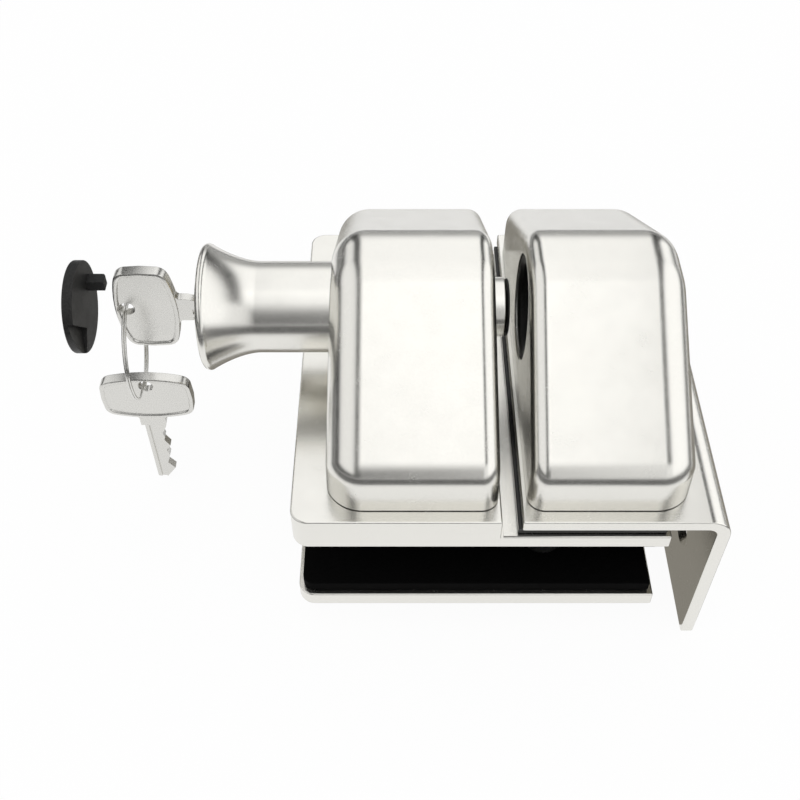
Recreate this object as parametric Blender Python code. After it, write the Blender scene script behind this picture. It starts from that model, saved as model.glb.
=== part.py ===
"""Glass gate latch: a key-locked pull knob on a clamp for a glass gate, and its wall keeper.

X runs along the bolt, from the gate towards the wall, and is 0 at the step of the base plate.
Y is 0 in the plane of the bolt. Z points up and is 0 on the face that meets the glass.
Lengths are in millimetres, and new_object() writes them in metres.
"""
import math

import bmesh
import bpy
from mathutils import Matrix, Vector

MM = 0.001
WELD = 0.0001
SMOOTH_ANGLE = math.radians(32)

# Clearances
SEAT = 0.3
RUNNING_GAP = 0.25
OVERCUT = 2.0

# Round pieces are drawn with so many sides
FINE_SIDES = 40
SIDES = 28
SMALL_SIDES = 16
TURN = 360

# Plates of the gate half
PLATE_DEPTH = 100.0
BLOCK_LENGTH = 48.2
TONGUE_LENGTH = 39.2
TONGUE_GAUGE = 4.0
BUFFER_SPACE = 2.55
BRACKET_GAUGE = 3.2
CLAMP_GAUGE = 4.2
PLAN_CORNER = 4.0
PLATE_BREAK = 0.35
STEP_RELIEF = 0.6
GASKET_GAUGE = 3.0
BASE_GASKET_INSET = 2.2
CLAMP_GASKET_INSET = 1.2
GLASS_SPACE = 14.35
BUFFER_START = 3.9
BUFFER_INSET = 1.0

# Clamp screws, with a sleeve round each
CLAMP_SCREW_X = 12.7
CLAMP_SCREW_INSET = 15.5
CLAMP_SHANK_RADIUS = 3.0
CLAMP_HEAD_RADIUS = 5.4
SLEEVE_RADIUS = 5.2

# Housings, both of one section across the bolt
HOUSING_INSET = 3.2
HOUSING_WALL_HEIGHT = 11.9
HOUSING_HEIGHT = 36.7
CREST_HALF_WIDTH = 6.8
CREST_RADIUS = 13.0
SHOULDER_RADIUS = 7.0
HOUSING_SHELL = 2.2
HOUSING_DRAFT = 0.0011
OUTER_FILLET = 8.6
INNER_FILLET = 4.1
SMALLEST_RADIUS = 1.0
FILLET_STEPS = 5
LATCH_LEFT = -40.2
LATCH_RIGHT = -0.6
KEEPER_LEFT = 5.8
KEEPER_RIGHT = 43.8
HOUSING_SCREW_INSET = 17.0
HOUSING_SHANK_RADIUS = 2.0
HOUSING_HEAD_RADIUS = 3.8
POST_RADIUS = 4.2
POST_GRIP = 9.0

# Bolt line
AXIS_HEIGHT = 19.2
BOLT_RADIUS = 7.2
BOLT_REACH = 2.0
BOLT_HEAD_LENGTH = 14.0
BOLT_SHANK_RADIUS = 5.0
BOLT_TIP_GAUGE = 0.5
BOLT_TIP_RADIUS = 6.9
BOLT_EDGE = 0.5
BOLT_PEG_RADIUS = 3.2
BOLT_PEG_LENGTH = 4.0
BOLT_SCREW_RADIUS = 3.0
BOLT_SCREW_HEAD_RADIUS = 5.0
BOLT_SCREW_HEAD_LENGTH = 5.0
BOLT_SCREW_GRIP = 14.0
BOLT_HOLE_RADIUS = 8.0
BOLT_BUSH_WALL = 1.6
BOLT_BUSH_LENGTH = 4.4

# Knob, a turned tube with a flared mouth
KNOB_RADIUS = 11.0
KNOB_BORE_RADIUS = 9.3
KNOB_LEFT = -70.3
KNOB_RIGHT = -28.0
KNOB_END_WALL = 3.0
FLARE_RADIUS = 15.3
FLARE_LENGTH = 12.2
FLARE_POWER = 1.7
FLARE_STEPS = 7
RIM_RADIUS = 1.3
KNOB_HOLE_GAP = 0.45
KNOB_BUSH_WALL = 1.7
KNOB_BUSH_LENGTH = 5.2
COLLAR_WALL = 3.2
STOP_RING_GAUGE = 1.0
STOP_RING_RADIUS = 12.6
STOP_GROOVE_DEPTH = 0.8

# Cap that closes the mouth of the knob, drawn off along the axis
CAP_RADIUS = 11.25
CAP_GAUGE = 2.5
CAP_LEFT = -101.8
CAP_EDGE = 0.5
PRONG_LENGTH = 4.2
PRONG_WIDTH = 3.2
PRONG_HEIGHT = 2.8
PRONG_Y = 6.2
PRONG_Z = 2.4
PRY_NOTCH_Y = -6.6
PRY_NOTCH_Z = -2.4
PRY_NOTCH_WIDTH = 3.0
PRY_NOTCH_HEIGHT = 3.6
PRY_NOTCH_DEPTH = 1.3

# Lock
BARREL_RADIUS = 9.0
BARREL_LENGTH = 21.5
PLUG_RADIUS = 6.2
PLUG_LIP_RADIUS = 7.2
PLUG_LIP_LENGTH = 1.2
PLUG_PROUD = 0.3
CAM_GAUGE = 2.0
CAM_RADIUS = 5.4
CAM_REACH = 8.4
CAM_TONGUE_WIDTH = 5.0
CAM_SCREW_RADIUS = 1.6
CAM_SCREW_HEAD_RADIUS = 3.4
CAM_SCREW_HEAD_LENGTH = 1.8
CAM_SCREW_GRIP = 2.2

# Keys, drawn hanging from the ring hole with the blade down
KEY_GAUGE = 3.0
BLADE_GAUGE = 2.2
BOW_WIDTH = 24.2
BOW_LENGTH = 15.2
BOW_BULGE = 1.9
BOW_END_BULGE = 0.4
BOW_CORNER = 3.0
BOW_STEPS = 6
BOW_RIM = 1.1
BOW_RECESS = 0.4
KEY_HOLE_RADIUS = 1.75
KEY_HOLE_INSET = 2.9
KEY_HOLE_OFFSET = 0.4
NECK_WIDTH = 7.0
NECK_LENGTH = 3.4
NECK_FILLET = 1.0
KEY_LENGTH = 41.4
BLADE_BACK = 2.5
BLADE_FRONT = 3.1
BLADE_TIP_FLAT = 1.3
BITTING = ((4.0, 0.15), (6.4, 1.9), (9.9, 0.8), (12.0, 1.35), (14.0, 0.05),
           (16.4, 1.35), (17.7, 0.95), (19.3, 1.3), (21.9, 0.1))
GROOVE_WIDTH = 0.8
GROOVE_DEPTH = 0.45
GROOVE_PITCH = 1.4
KEY_HOLE_X = -89.0

# Split ring
RING_RADIUS = 13.1
RING_WIRE_RADIUS = 0.42
RING_TURN_OFFSET = 0.45
RING_PLAY = 0.25
RING_DROP = 0.85
RING_STEPS_A_TURN = 36
RING_WIRE_SIDES = 6
RING_OVERLAP = 40
RING_CROSSING = 36
RING_START = 130

# Return spring
SPRING_RADIUS = 8.4
SPRING_WIRE_RADIUS = 0.5
SPRING_TURNS = 4.5
SPRING_STEPS_A_TURN = 16
SPRING_WIRE_SIDES = 6

# Keeper
BRACKET_LEFT = 4.7
BRACKET_FACE = 52.5
BRACKET_BEND = 5.5
BRACKET_DROP = 48.6
WALL_SCREW_INSET = 19.0
WALL_SCREW_DROP = 29.0
WALL_SCREW_RADIUS = 3.0
WALL_SINK_RADIUS = 4.7
STRIKE_RADIUS = 12.85
CUP_WALL = 2.0
CUP_FLOOR = 2.0
CUP_DEPTH = 11.0
CUP_SETBACK = 0.8
MAGNET_GAUGE = 5.0

# Levels and places that follow
PLATE_GAUGE = TONGUE_GAUGE + BUFFER_SPACE + BRACKET_GAUGE
PLATE_BOTTOM = GASKET_GAUGE + SEAT
DECK = PLATE_BOTTOM + PLATE_GAUGE
TONGUE_TOP = PLATE_BOTTOM + TONGUE_GAUGE
CLAMP_TOP = -GLASS_SPACE - GASKET_GAUGE - SEAT
CLAMP_BOTTOM = CLAMP_TOP - CLAMP_GAUGE
HOUSING_BASE = DECK + SEAT
AXIS_Z = DECK + AXIS_HEIGHT
HALF_DEPTH = PLATE_DEPTH / 2
CLAMP_SCREW_Y = HALF_DEPTH - CLAMP_SCREW_INSET
HOUSING_HALF_WIDTH = HALF_DEPTH - HOUSING_INSET
HOUSING_SCREW_Y = HALF_DEPTH - HOUSING_SCREW_INSET
WALL_SCREW_Y = HALF_DEPTH - WALL_SCREW_INSET
LATCH_SCREW_X = (LATCH_LEFT + LATCH_RIGHT) / 2
KEEPER_SCREW_X = (KEEPER_LEFT + KEEPER_RIGHT) / 2
KNOB_HOLE_RADIUS = KNOB_RADIUS + KNOB_HOLE_GAP
KNOB_BUSH_RADIUS = KNOB_RADIUS + RUNNING_GAP + KNOB_BUSH_WALL
BOLT_BUSH_RADIUS = BOLT_RADIUS + RUNNING_GAP + BOLT_BUSH_WALL
STOP_FACE = LATCH_LEFT + HOUSING_SHELL + SEAT + KNOB_BUSH_LENGTH
BOLT_BUSH_RIGHT = LATCH_RIGHT - HOUSING_SHELL - 3 * SEAT
CUP_RADIUS = STRIKE_RADIUS - SEAT
CUP_LEFT = KEEPER_LEFT + CUP_SETBACK
CUP_RIGHT = CUP_LEFT + CUP_DEPTH + CUP_FLOOR
MOUTH_FLOOR = KNOB_LEFT + CAP_GAUGE + SEAT
BARREL_RIGHT = MOUTH_FLOOR + BARREL_LENGTH
KEY_HOLE_Z = KEY_HOLE_OFFSET
KEY_TIP_X = KEY_HOLE_X - KEY_HOLE_INSET + KEY_LENGTH
RING_X = KEY_HOLE_X - RING_PLAY
RING_TOP_Z = AXIS_Z + KEY_HOLE_Z - RING_DROP
SPARE_HOLE_Z = RING_TOP_Z - 2 * RING_RADIUS - RING_DROP


def clear_scene():
    for obj in list(bpy.data.objects):
        bpy.data.objects.remove(obj, do_unlink=True)


def look(name, color, roughness, metallic):
    material = bpy.data.materials.new(name)
    material.use_nodes = True
    shader = material.node_tree.nodes["Principled BSDF"]
    shader.inputs["Base Color"].default_value = (*color, 1)
    shader.inputs["Roughness"].default_value = roughness
    shader.inputs["Metallic"].default_value = metallic
    material.diffuse_color = (*color, 1)
    return material


def satin_steel(name):
    return look(name, (0.78, 0.77, 0.74), 0.32, 1.0)


def bright_steel(name):
    return look(name, (0.72, 0.72, 0.70), 0.22, 1.0)


def black_rubber(name):
    return look(name, (0.03, 0.03, 0.03), 0.8, 0.0)


def black_plastic(name):
    return look(name, (0.04, 0.04, 0.04), 0.5, 0.0)


def new_object(name, bm, material=None, at=(0, 0, 0), parent=None):
    """Make an object in metres from a mesh drawn in millimetres; at is in the parent's frame."""
    bm.normal_update()
    bmesh.ops.recalc_face_normals(bm, faces=bm.faces)
    bm.transform(Matrix.Scale(MM, 4))
    mesh = bpy.data.meshes.new(name)
    bm.to_mesh(mesh)
    bm.free()
    mesh.shade_smooth()
    mesh.set_sharp_from_angle(angle=SMOOTH_ANGLE)
    if material:
        mesh.materials.append(material)
    obj = bpy.data.objects.new(name, mesh)
    bpy.context.scene.collection.objects.link(obj)
    obj.parent = parent
    obj.location = Vector(at) * MM
    return obj


def axis_empty(name, at, parent=None):
    empty = bpy.data.objects.new(name, None)
    bpy.context.scene.collection.objects.link(empty)
    empty.parent = parent
    empty.location = Vector(at) * MM
    return empty


def combine(obj, other, operation):
    """Cut, join or keep the overlap of obj and a hidden guide object."""
    other.hide_render = True
    other.display_type = "WIRE"
    modifier = obj.modifiers.new(other.name, "BOOLEAN")
    modifier.operation = operation
    modifier.solver = "EXACT"
    modifier.object = other


def cut(obj, bm, name, at=(0, 0, 0)):
    combine(obj, new_object(name, bm, at=at), "DIFFERENCE")


def join(obj, bm, name, at=(0, 0, 0)):
    combine(obj, new_object(name, bm, at=at), "UNION")


def break_edges(obj, width, segments=2):
    modifier = obj.modifiers.new("broken_edges", "BEVEL")
    modifier.width = width * MM
    modifier.segments = segments
    modifier.limit_method = "ANGLE"
    modifier.angle_limit = math.radians(40)
    modifier.use_clamp_overlap = True


def turned(profile, sides, along="X"):
    """Spin pairs of (distance along the axis, radius). A profile that starts off the axis is a ring."""
    bm = bmesh.new()
    verts = [bm.verts.new((x, 0, radius)) for x, radius in profile]
    edges = [bm.edges.new(pair) for pair in zip(verts, verts[1:])]
    if profile[0][1] > 0:
        edges.append(bm.edges.new((verts[-1], verts[0])))
    bmesh.ops.spin(bm, geom=verts + edges, cent=(0, 0, 0), axis=(1, 0, 0), angle=2 * math.pi,
                   steps=sides, use_merge=True)
    bmesh.ops.remove_doubles(bm, verts=bm.verts, dist=WELD)
    if along == "Z":
        bm.transform(Matrix.Rotation(-math.pi / 2, 4, "Y"))
    return bm


def rod(left, right, radius, sides=SIDES, along="X"):
    return turned([(left, 0), (left, radius), (right, radius), (right, 0)], sides, along)


def tube(left, right, outer, inner, sides=SIDES, along="X"):
    return turned([(left, inner), (left, outer), (right, outer), (right, inner)], sides, along)


def prism(outline, low, high, along="Z"):
    """Extrude an outline: one in X and Y along Z, or one in X and Z along Y."""
    bm = bmesh.new()
    face = bm.faces.new([bm.verts.new((a, b, low)) for a, b in outline])
    grown = bmesh.ops.extrude_face_region(bm, geom=[face])
    top = [item for item in grown["geom"] if isinstance(item, bmesh.types.BMVert)]
    bmesh.ops.translate(bm, vec=(0, 0, high - low), verts=top)
    if along == "Y":
        bm.transform(Matrix(((1, 0, 0, 0), (0, 0, 1, 0), (0, 1, 0, 0), (0, 0, 0, 1))))
    return bm


def block(low, high):
    outline = [(low[0], low[1]), (high[0], low[1]), (high[0], high[1]), (low[0], high[1])]
    return prism(outline, low[2], high[2])


def filleted(points, radii, steps=4):
    """Round the corners of a closed outline, each to its own radius; 0 leaves a corner as it is."""
    outline = []
    for index, (point, radius) in enumerate(zip(points, radii)):
        corner = Vector((*point, 0))
        if radius == 0:
            outline.append((corner.x, corner.y))
            continue
        before = (Vector((*points[index - 1], 0)) - corner).normalized()
        after = (Vector((*points[(index + 1) % len(points)], 0)) - corner).normalized()
        half = before.angle(after) / 2
        centre = corner + (before + after).normalized() * radius / math.sin(half)
        start = (corner + before * radius / math.tan(half) - centre).normalized()
        end = (corner + after * radius / math.tan(half) - centre).normalized()
        for step in range(steps + 1):
            spot = centre + start.slerp(end, step / steps).normalized() * radius
            outline.append((spot.x, spot.y))
    return outline


def plate_outline(left, right, inset=0.0):
    """Plan of a gate plate, with its two corners on the gate side rounded."""
    depth = HALF_DEPTH - inset
    corner = PLAN_CORNER - inset
    points = [(right - inset, -depth), (right - inset, depth),
              (left + inset, depth), (left + inset, -depth)]
    return filleted(points, (0, 0, corner, corner), 5)


def screw_profile(head_radius, shank_radius, length):
    """Countersunk screw that points along its axis from the flat of its head."""
    return [(0, 0), (0, head_radius), (head_radius - shank_radius, shank_radius), (length, shank_radius),
            (length, 0)]


def sink_profile(head_radius, shank_radius, length):
    """Hole for such a screw, whose cone runs on out of the face."""
    return [(-OVERCUT, 0), (-OVERCUT, head_radius + SEAT + OVERCUT),
            (head_radius - shank_radius, shank_radius + SEAT), (length, shank_radius + SEAT), (length, 0)]


def countersunk_screw(name, head_radius, shank_radius, length, at):
    screw = new_object(name, turned(screw_profile(head_radius, shank_radius, length), SMALL_SIDES, "Z"),
                       bright_steel(name), at)
    socket = [(shank_radius * math.cos(a * math.pi / 3), shank_radius * math.sin(a * math.pi / 3))
              for a in range(6)]
    cut(screw, prism(socket, -OVERCUT, head_radius - shank_radius), name + "_socket", at)
    return screw


def screw_hole(obj, name, head_radius, shank_radius, length, at):
    cut(obj, turned(sink_profile(head_radius, shank_radius, length), SMALL_SIDES, "Z"), name, at)


def ends():
    """Names and signs of the two ends of what is symmetric across the bolt."""
    return (("front", -1), ("rear", 1))


def base_plate():
    outline = plate_outline(-BLOCK_LENGTH, TONGUE_LENGTH)
    plate = new_object("base_plate", prism(outline, PLATE_BOTTOM, DECK), satin_steel("base_plate"))
    step = block((0, -PLATE_DEPTH, TONGUE_TOP), (PLATE_DEPTH, PLATE_DEPTH, DECK + OVERCUT))
    cut(plate, step, "base_step")
    break_edges(plate, PLATE_BREAK)
    relief = block((0, -PLATE_DEPTH, TONGUE_TOP - STEP_RELIEF / 2),
                   (STEP_RELIEF, PLATE_DEPTH, TONGUE_TOP + STEP_RELIEF))
    cut(plate, relief, "base_relief")
    for end, side in ends():
        hole = rod(PLATE_BOTTOM - OVERCUT, TONGUE_TOP - SEAT, CLAMP_SHANK_RADIUS + SEAT, SMALL_SIDES, "Z")
        cut(plate, hole, "clamp_hole_" + end, (CLAMP_SCREW_X, side * CLAMP_SCREW_Y, 0))
        screw_hole(plate, "latch_screw_hole_" + end, HOUSING_HEAD_RADIUS, HOUSING_SHANK_RADIUS,
                   PLATE_GAUGE + OVERCUT, (LATCH_SCREW_X, side * HOUSING_SCREW_Y, PLATE_BOTTOM))


def gasket(name, bottom, inset):
    outline = plate_outline(-BLOCK_LENGTH, TONGUE_LENGTH, inset)
    pad = new_object(name, prism(outline, bottom, bottom + GASKET_GAUGE), black_rubber(name))
    for end, side in ends():
        hole = rod(bottom - OVERCUT, bottom + GASKET_GAUGE + OVERCUT, SLEEVE_RADIUS + SEAT, SIDES, "Z")
        cut(pad, hole, name + "_hole_" + end, (CLAMP_SCREW_X, side * CLAMP_SCREW_Y, 0))


def clamp_plate():
    outline = plate_outline(-BLOCK_LENGTH, TONGUE_LENGTH)
    plate = new_object("clamp_plate", prism(outline, CLAMP_BOTTOM, CLAMP_TOP), satin_steel("clamp_plate"))
    break_edges(plate, PLATE_BREAK)
    for end, side in ends():
        screw_hole(plate, "clamp_sink_" + end, CLAMP_HEAD_RADIUS, CLAMP_SHANK_RADIUS,
                   CLAMP_GAUGE + OVERCUT, (CLAMP_SCREW_X, side * CLAMP_SCREW_Y, CLAMP_BOTTOM))


def clamp_fasteners():
    length = TONGUE_TOP - 2 * SEAT - CLAMP_BOTTOM
    for end, side in ends():
        at = (CLAMP_SCREW_X, side * CLAMP_SCREW_Y, 0)
        countersunk_screw("clamp_screw_" + end, CLAMP_HEAD_RADIUS, CLAMP_SHANK_RADIUS, length,
                          (at[0], at[1], CLAMP_BOTTOM))
        name = "screw_sleeve_" + end
        sleeve = tube(CLAMP_TOP + SEAT, PLATE_BOTTOM - SEAT, SLEEVE_RADIUS, CLAMP_SHANK_RADIUS + SEAT,
                      SIDES, "Z")
        new_object(name, sleeve, black_plastic(name), at)


def buffer_strip():
    low = (BUFFER_START, -HALF_DEPTH + BUFFER_INSET, TONGUE_TOP + SEAT)
    high = (TONGUE_LENGTH - BUFFER_INSET, HALF_DEPTH - BUFFER_INSET, TONGUE_TOP + BUFFER_SPACE - SEAT)
    new_object("buffer_strip", block(low, high), black_rubber("buffer_strip"))


def gable_outline(inset, base):
    """Section of a housing across the bolt, drawn inwards by inset: end walls, slopes and crest."""
    half = HOUSING_HALF_WIDTH - inset
    run = HOUSING_HALF_WIDTH - CREST_HALF_WIDTH
    rise = HOUSING_HEIGHT - HOUSING_WALL_HEIGHT
    pitch = math.atan2(rise, run)
    shoulder = HOUSING_WALL_HEIGHT - inset / math.cos(pitch) + inset * math.tan(pitch)
    crest = CREST_HALF_WIDTH - inset * math.tan(pitch / 2)
    top = HOUSING_HEIGHT - inset
    points = [(-half, base), (-half, shoulder), (-crest, top), (crest, top), (half, shoulder), (half, base)]
    shoulder_radius = max(SHOULDER_RADIUS - inset, SMALLEST_RADIUS)
    crest_radius = max(CREST_RADIUS - inset, SMALLEST_RADIUS)
    radii = (0, shoulder_radius, crest_radius, crest_radius, shoulder_radius, 0)
    return filleted(points, radii, FILLET_STEPS)


def housing_slices(left, right, wall):
    """Places along the bolt, each with how far the section is drawn in to round the two faces."""
    slices = []
    for face, sign, fillet in ((left, 1, OUTER_FILLET), (right, -1, INNER_FILLET)):
        radius = max(fillet - wall, SMALLEST_RADIUS)
        rounded = []
        for step in range(FILLET_STEPS + 1):
            turn = math.pi / 2 * step / FILLET_STEPS
            inset = wall + radius * (1 - math.sin(turn))
            rounded.append((face + sign * (wall + radius * (1 - math.cos(turn))), inset))
        slices += rounded if sign == 1 else rounded[::-1]
    return slices


def housing_form(left, right, wall, base, outer_on_left):
    """Loft of the gable section from face to face, with the draft of a casting."""
    if outer_on_left:
        slices = housing_slices(left, right, wall)
    else:
        slices = [(left + right - x, inset) for x, inset in housing_slices(left, right, wall)]
    middle = (left + right) / 2
    bm = bmesh.new()
    rings = []
    for x, inset in slices:
        ring = []
        for y, z in gable_outline(inset, base):
            ring.append(bm.verts.new((middle + (x - middle) * (1 - HOUSING_DRAFT * z), y, z)))
        rings.append(ring)
    for near, far in zip(rings, rings[1:]):
        for index in range(len(near)):
            bm.faces.new((near[index - 1], near[index], far[index], far[index - 1]))
    bm.faces.new(rings[0])
    bm.faces.new(rings[-1][::-1])
    return bm


def housing(name, left, right, outer_on_left, cores):
    """Cast shell, open below, whose cores are the posts and collars left standing inside."""
    at = (0, 0, HOUSING_BASE)
    shell = new_object(name, housing_form(left, right, 0, 0, outer_on_left), satin_steel(name), at)
    cavity = new_object(name + "_cavity", housing_form(left, right, HOUSING_SHELL, -OVERCUT, outer_on_left),
                        at=at)
    for index, (core, place) in enumerate(cores):
        cut(cavity, core, f"{name}_core_{index}", place)
    combine(shell, cavity, "DIFFERENCE")
    return shell


def post_cores(x):
    height = HOUSING_HEIGHT + OVERCUT
    return [(rod(-2 * OVERCUT, height, POST_RADIUS, SIDES, "Z"), (x, side * HOUSING_SCREW_Y, HOUSING_BASE))
            for _, side in ends()]


def latch_housing():
    collar_left = rod(LATCH_LEFT - OVERCUT, STOP_FACE, KNOB_BUSH_RADIUS + SEAT + COLLAR_WALL, SIDES)
    collar_right = rod(BOLT_BUSH_RIGHT - BOLT_BUSH_LENGTH + 2 * SEAT, OVERCUT,
                       BOLT_BUSH_RADIUS + SEAT + COLLAR_WALL, SIDES)
    at = (0, 0, AXIS_Z)
    cores = post_cores(LATCH_SCREW_X) + [(collar_left, at), (collar_right, at)]
    shell = housing("latch_housing", LATCH_LEFT, LATCH_RIGHT, True, cores)
    knob_hole = [(LATCH_LEFT - OVERCUT, 0), (LATCH_LEFT - OVERCUT, KNOB_HOLE_RADIUS),
                 (LATCH_LEFT + HOUSING_SHELL, KNOB_HOLE_RADIUS),
                 (LATCH_LEFT + HOUSING_SHELL, KNOB_BUSH_RADIUS + SEAT),
                 (STOP_FACE + OVERCUT, KNOB_BUSH_RADIUS + SEAT), (STOP_FACE + OVERCUT, 0)]
    cut(shell, turned(knob_hole, FINE_SIDES), "knob_hole", at)
    bush_left = BOLT_BUSH_RIGHT - BOLT_BUSH_LENGTH
    bush_hole = BOLT_BUSH_RADIUS + SEAT
    bolt_hole = [(bush_left - OVERCUT, 0), (bush_left - OVERCUT, bush_hole),
                 (BOLT_BUSH_RIGHT + SEAT, bush_hole), (BOLT_BUSH_RIGHT + SEAT, BOLT_HOLE_RADIUS),
                 (OVERCUT, BOLT_HOLE_RADIUS), (OVERCUT, 0)]
    cut(shell, turned(bolt_hole, SIDES), "bolt_hole", at)
    pilot_holes(shell, "latch", LATCH_SCREW_X)


def pilot_holes(shell, name, x):
    for end, side in ends():
        pilot = rod(-OVERCUT, POST_GRIP + SEAT, HOUSING_SHANK_RADIUS + SEAT, SMALL_SIDES, "Z")
        cut(shell, pilot, f"{name}_pilot_{end}", (x, side * HOUSING_SCREW_Y, HOUSING_BASE))


def housing_screws(name, x, underside, gauge):
    for end, side in ends():
        countersunk_screw(f"{name}_{end}", HOUSING_HEAD_RADIUS, HOUSING_SHANK_RADIUS,
                          gauge + SEAT + POST_GRIP, (x, side * HOUSING_SCREW_Y, underside))


def bushes():
    at = (0, 0, AXIS_Z)
    left = STOP_FACE - KNOB_BUSH_LENGTH
    new_object("knob_bush", tube(left, STOP_FACE, KNOB_BUSH_RADIUS, KNOB_RADIUS + RUNNING_GAP, FINE_SIDES),
               black_plastic("knob_bush"), at)
    new_object("bolt_bush", tube(BOLT_BUSH_RIGHT - BOLT_BUSH_LENGTH, BOLT_BUSH_RIGHT, BOLT_BUSH_RADIUS,
                                 BOLT_RADIUS + RUNNING_GAP), black_plastic("bolt_bush"), at)


def knob_profile():
    """Outline of the tube: flared mouth with a rounded rim, recess for the cap, bore and end wall."""
    rim_centre = (KNOB_LEFT + RIM_RADIUS, FLARE_RADIUS - RIM_RADIUS)
    swell = FLARE_RADIUS - KNOB_RADIUS
    mouth = CAP_RADIUS + SEAT
    groove_left = STOP_FACE + SEAT / 2
    groove_right = groove_left + STOP_RING_GAUGE + SEAT
    groove_radius = KNOB_RADIUS - STOP_GROOVE_DEPTH
    profile = [(KNOB_RIGHT, KNOB_RADIUS), (groove_right, KNOB_RADIUS), (groove_right, groove_radius),
               (groove_left, groove_radius), (groove_left, KNOB_RADIUS)]
    for step in range(FLARE_STEPS + 1):
        share = step / FLARE_STEPS
        along = rim_centre[0] + FLARE_LENGTH * (1 - share)
        profile.append((along, KNOB_RADIUS + swell * share ** FLARE_POWER))
    for degrees in (120, 150, 180):
        turn = math.radians(degrees)
        profile.append((rim_centre[0] + RIM_RADIUS * math.cos(turn),
                        rim_centre[1] + RIM_RADIUS * math.sin(turn)))
    profile += [(KNOB_LEFT, mouth + RIM_RADIUS / 2), (KNOB_LEFT + RIM_RADIUS / 2, mouth),
                (MOUTH_FLOOR, mouth), (MOUTH_FLOOR, KNOB_BORE_RADIUS),
                (KNOB_RIGHT - KNOB_END_WALL, KNOB_BORE_RADIUS),
                (KNOB_RIGHT - KNOB_END_WALL, BOLT_SCREW_RADIUS + SEAT),
                (KNOB_RIGHT, BOLT_SCREW_RADIUS + SEAT)]
    return profile


def stop_ring(parent):
    """Open retaining ring in the groove of the knob."""
    left = STOP_FACE + SEAT
    inner = KNOB_RADIUS - STOP_GROOVE_DEPTH + RUNNING_GAP
    ring = new_object("stop_ring", tube(left, left + STOP_RING_GAUGE, STOP_RING_RADIUS, inner),
                      bright_steel("stop_ring"), parent=parent)
    gap = block((left - OVERCUT, -OVERCUT, -2 * STOP_RING_RADIUS), (left + 2 * OVERCUT, OVERCUT, 0))
    cut(ring, gap, "stop_ring_opening", (0, 0, AXIS_Z))


def knob(parent):
    new_object("knob", turned(knob_profile(), FINE_SIDES), satin_steel("knob"), parent=parent)


def latch_bolt(parent):
    """Bolt head and shank, tapped from the left for its screw and bored at the tip for the black face."""
    head_left = BOLT_REACH - BOLT_HEAD_LENGTH
    shank_left = KNOB_RIGHT + SEAT
    tapped = BOLT_SCREW_RADIUS + SEAT
    socket_end = KNOB_RIGHT + BOLT_SCREW_GRIP + SEAT
    peg_end = BOLT_REACH - BOLT_PEG_LENGTH - SEAT
    profile = [(socket_end, 0), (socket_end, tapped), (shank_left, tapped),
               (shank_left, BOLT_SHANK_RADIUS), (head_left, BOLT_SHANK_RADIUS), (head_left, BOLT_RADIUS),
               (BOLT_REACH - BOLT_EDGE, BOLT_RADIUS), (BOLT_REACH, BOLT_RADIUS - BOLT_EDGE),
               (BOLT_REACH, BOLT_PEG_RADIUS + SEAT), (peg_end, BOLT_PEG_RADIUS + SEAT), (peg_end, 0)]
    new_object("latch_bolt", turned(profile, SIDES), bright_steel("latch_bolt"), parent=parent)
    disc_left = BOLT_REACH + SEAT
    disc_right = disc_left + BOLT_TIP_GAUGE
    face = [(BOLT_REACH - BOLT_PEG_LENGTH, 0), (BOLT_REACH - BOLT_PEG_LENGTH, BOLT_PEG_RADIUS),
            (disc_left, BOLT_PEG_RADIUS), (disc_left, BOLT_TIP_RADIUS), (disc_right, BOLT_TIP_RADIUS),
            (disc_right, 0)]
    new_object("bolt_face", turned(face, SIDES), black_plastic("bolt_face"), parent=parent)


def bolt_screw(parent):
    """Socket-head screw through the knob's end wall into the bolt."""
    seat = KNOB_RIGHT - KNOB_END_WALL - SEAT
    head_left = seat - BOLT_SCREW_HEAD_LENGTH
    profile = [(head_left, 0), (head_left, BOLT_SCREW_HEAD_RADIUS), (seat, BOLT_SCREW_HEAD_RADIUS),
               (seat, BOLT_SCREW_RADIUS), (KNOB_RIGHT + BOLT_SCREW_GRIP, BOLT_SCREW_RADIUS),
               (KNOB_RIGHT + BOLT_SCREW_GRIP, 0)]
    screw = new_object("bolt_screw", turned(profile, SMALL_SIDES), bright_steel("bolt_screw"),
                       parent=parent)
    depth = BOLT_SCREW_HEAD_LENGTH / 2
    socket = rod(head_left - OVERCUT, head_left + depth, BOLT_SCREW_RADIUS, 6)
    cut(screw, socket, "bolt_screw_socket", (0, 0, AXIS_Z))


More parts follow.
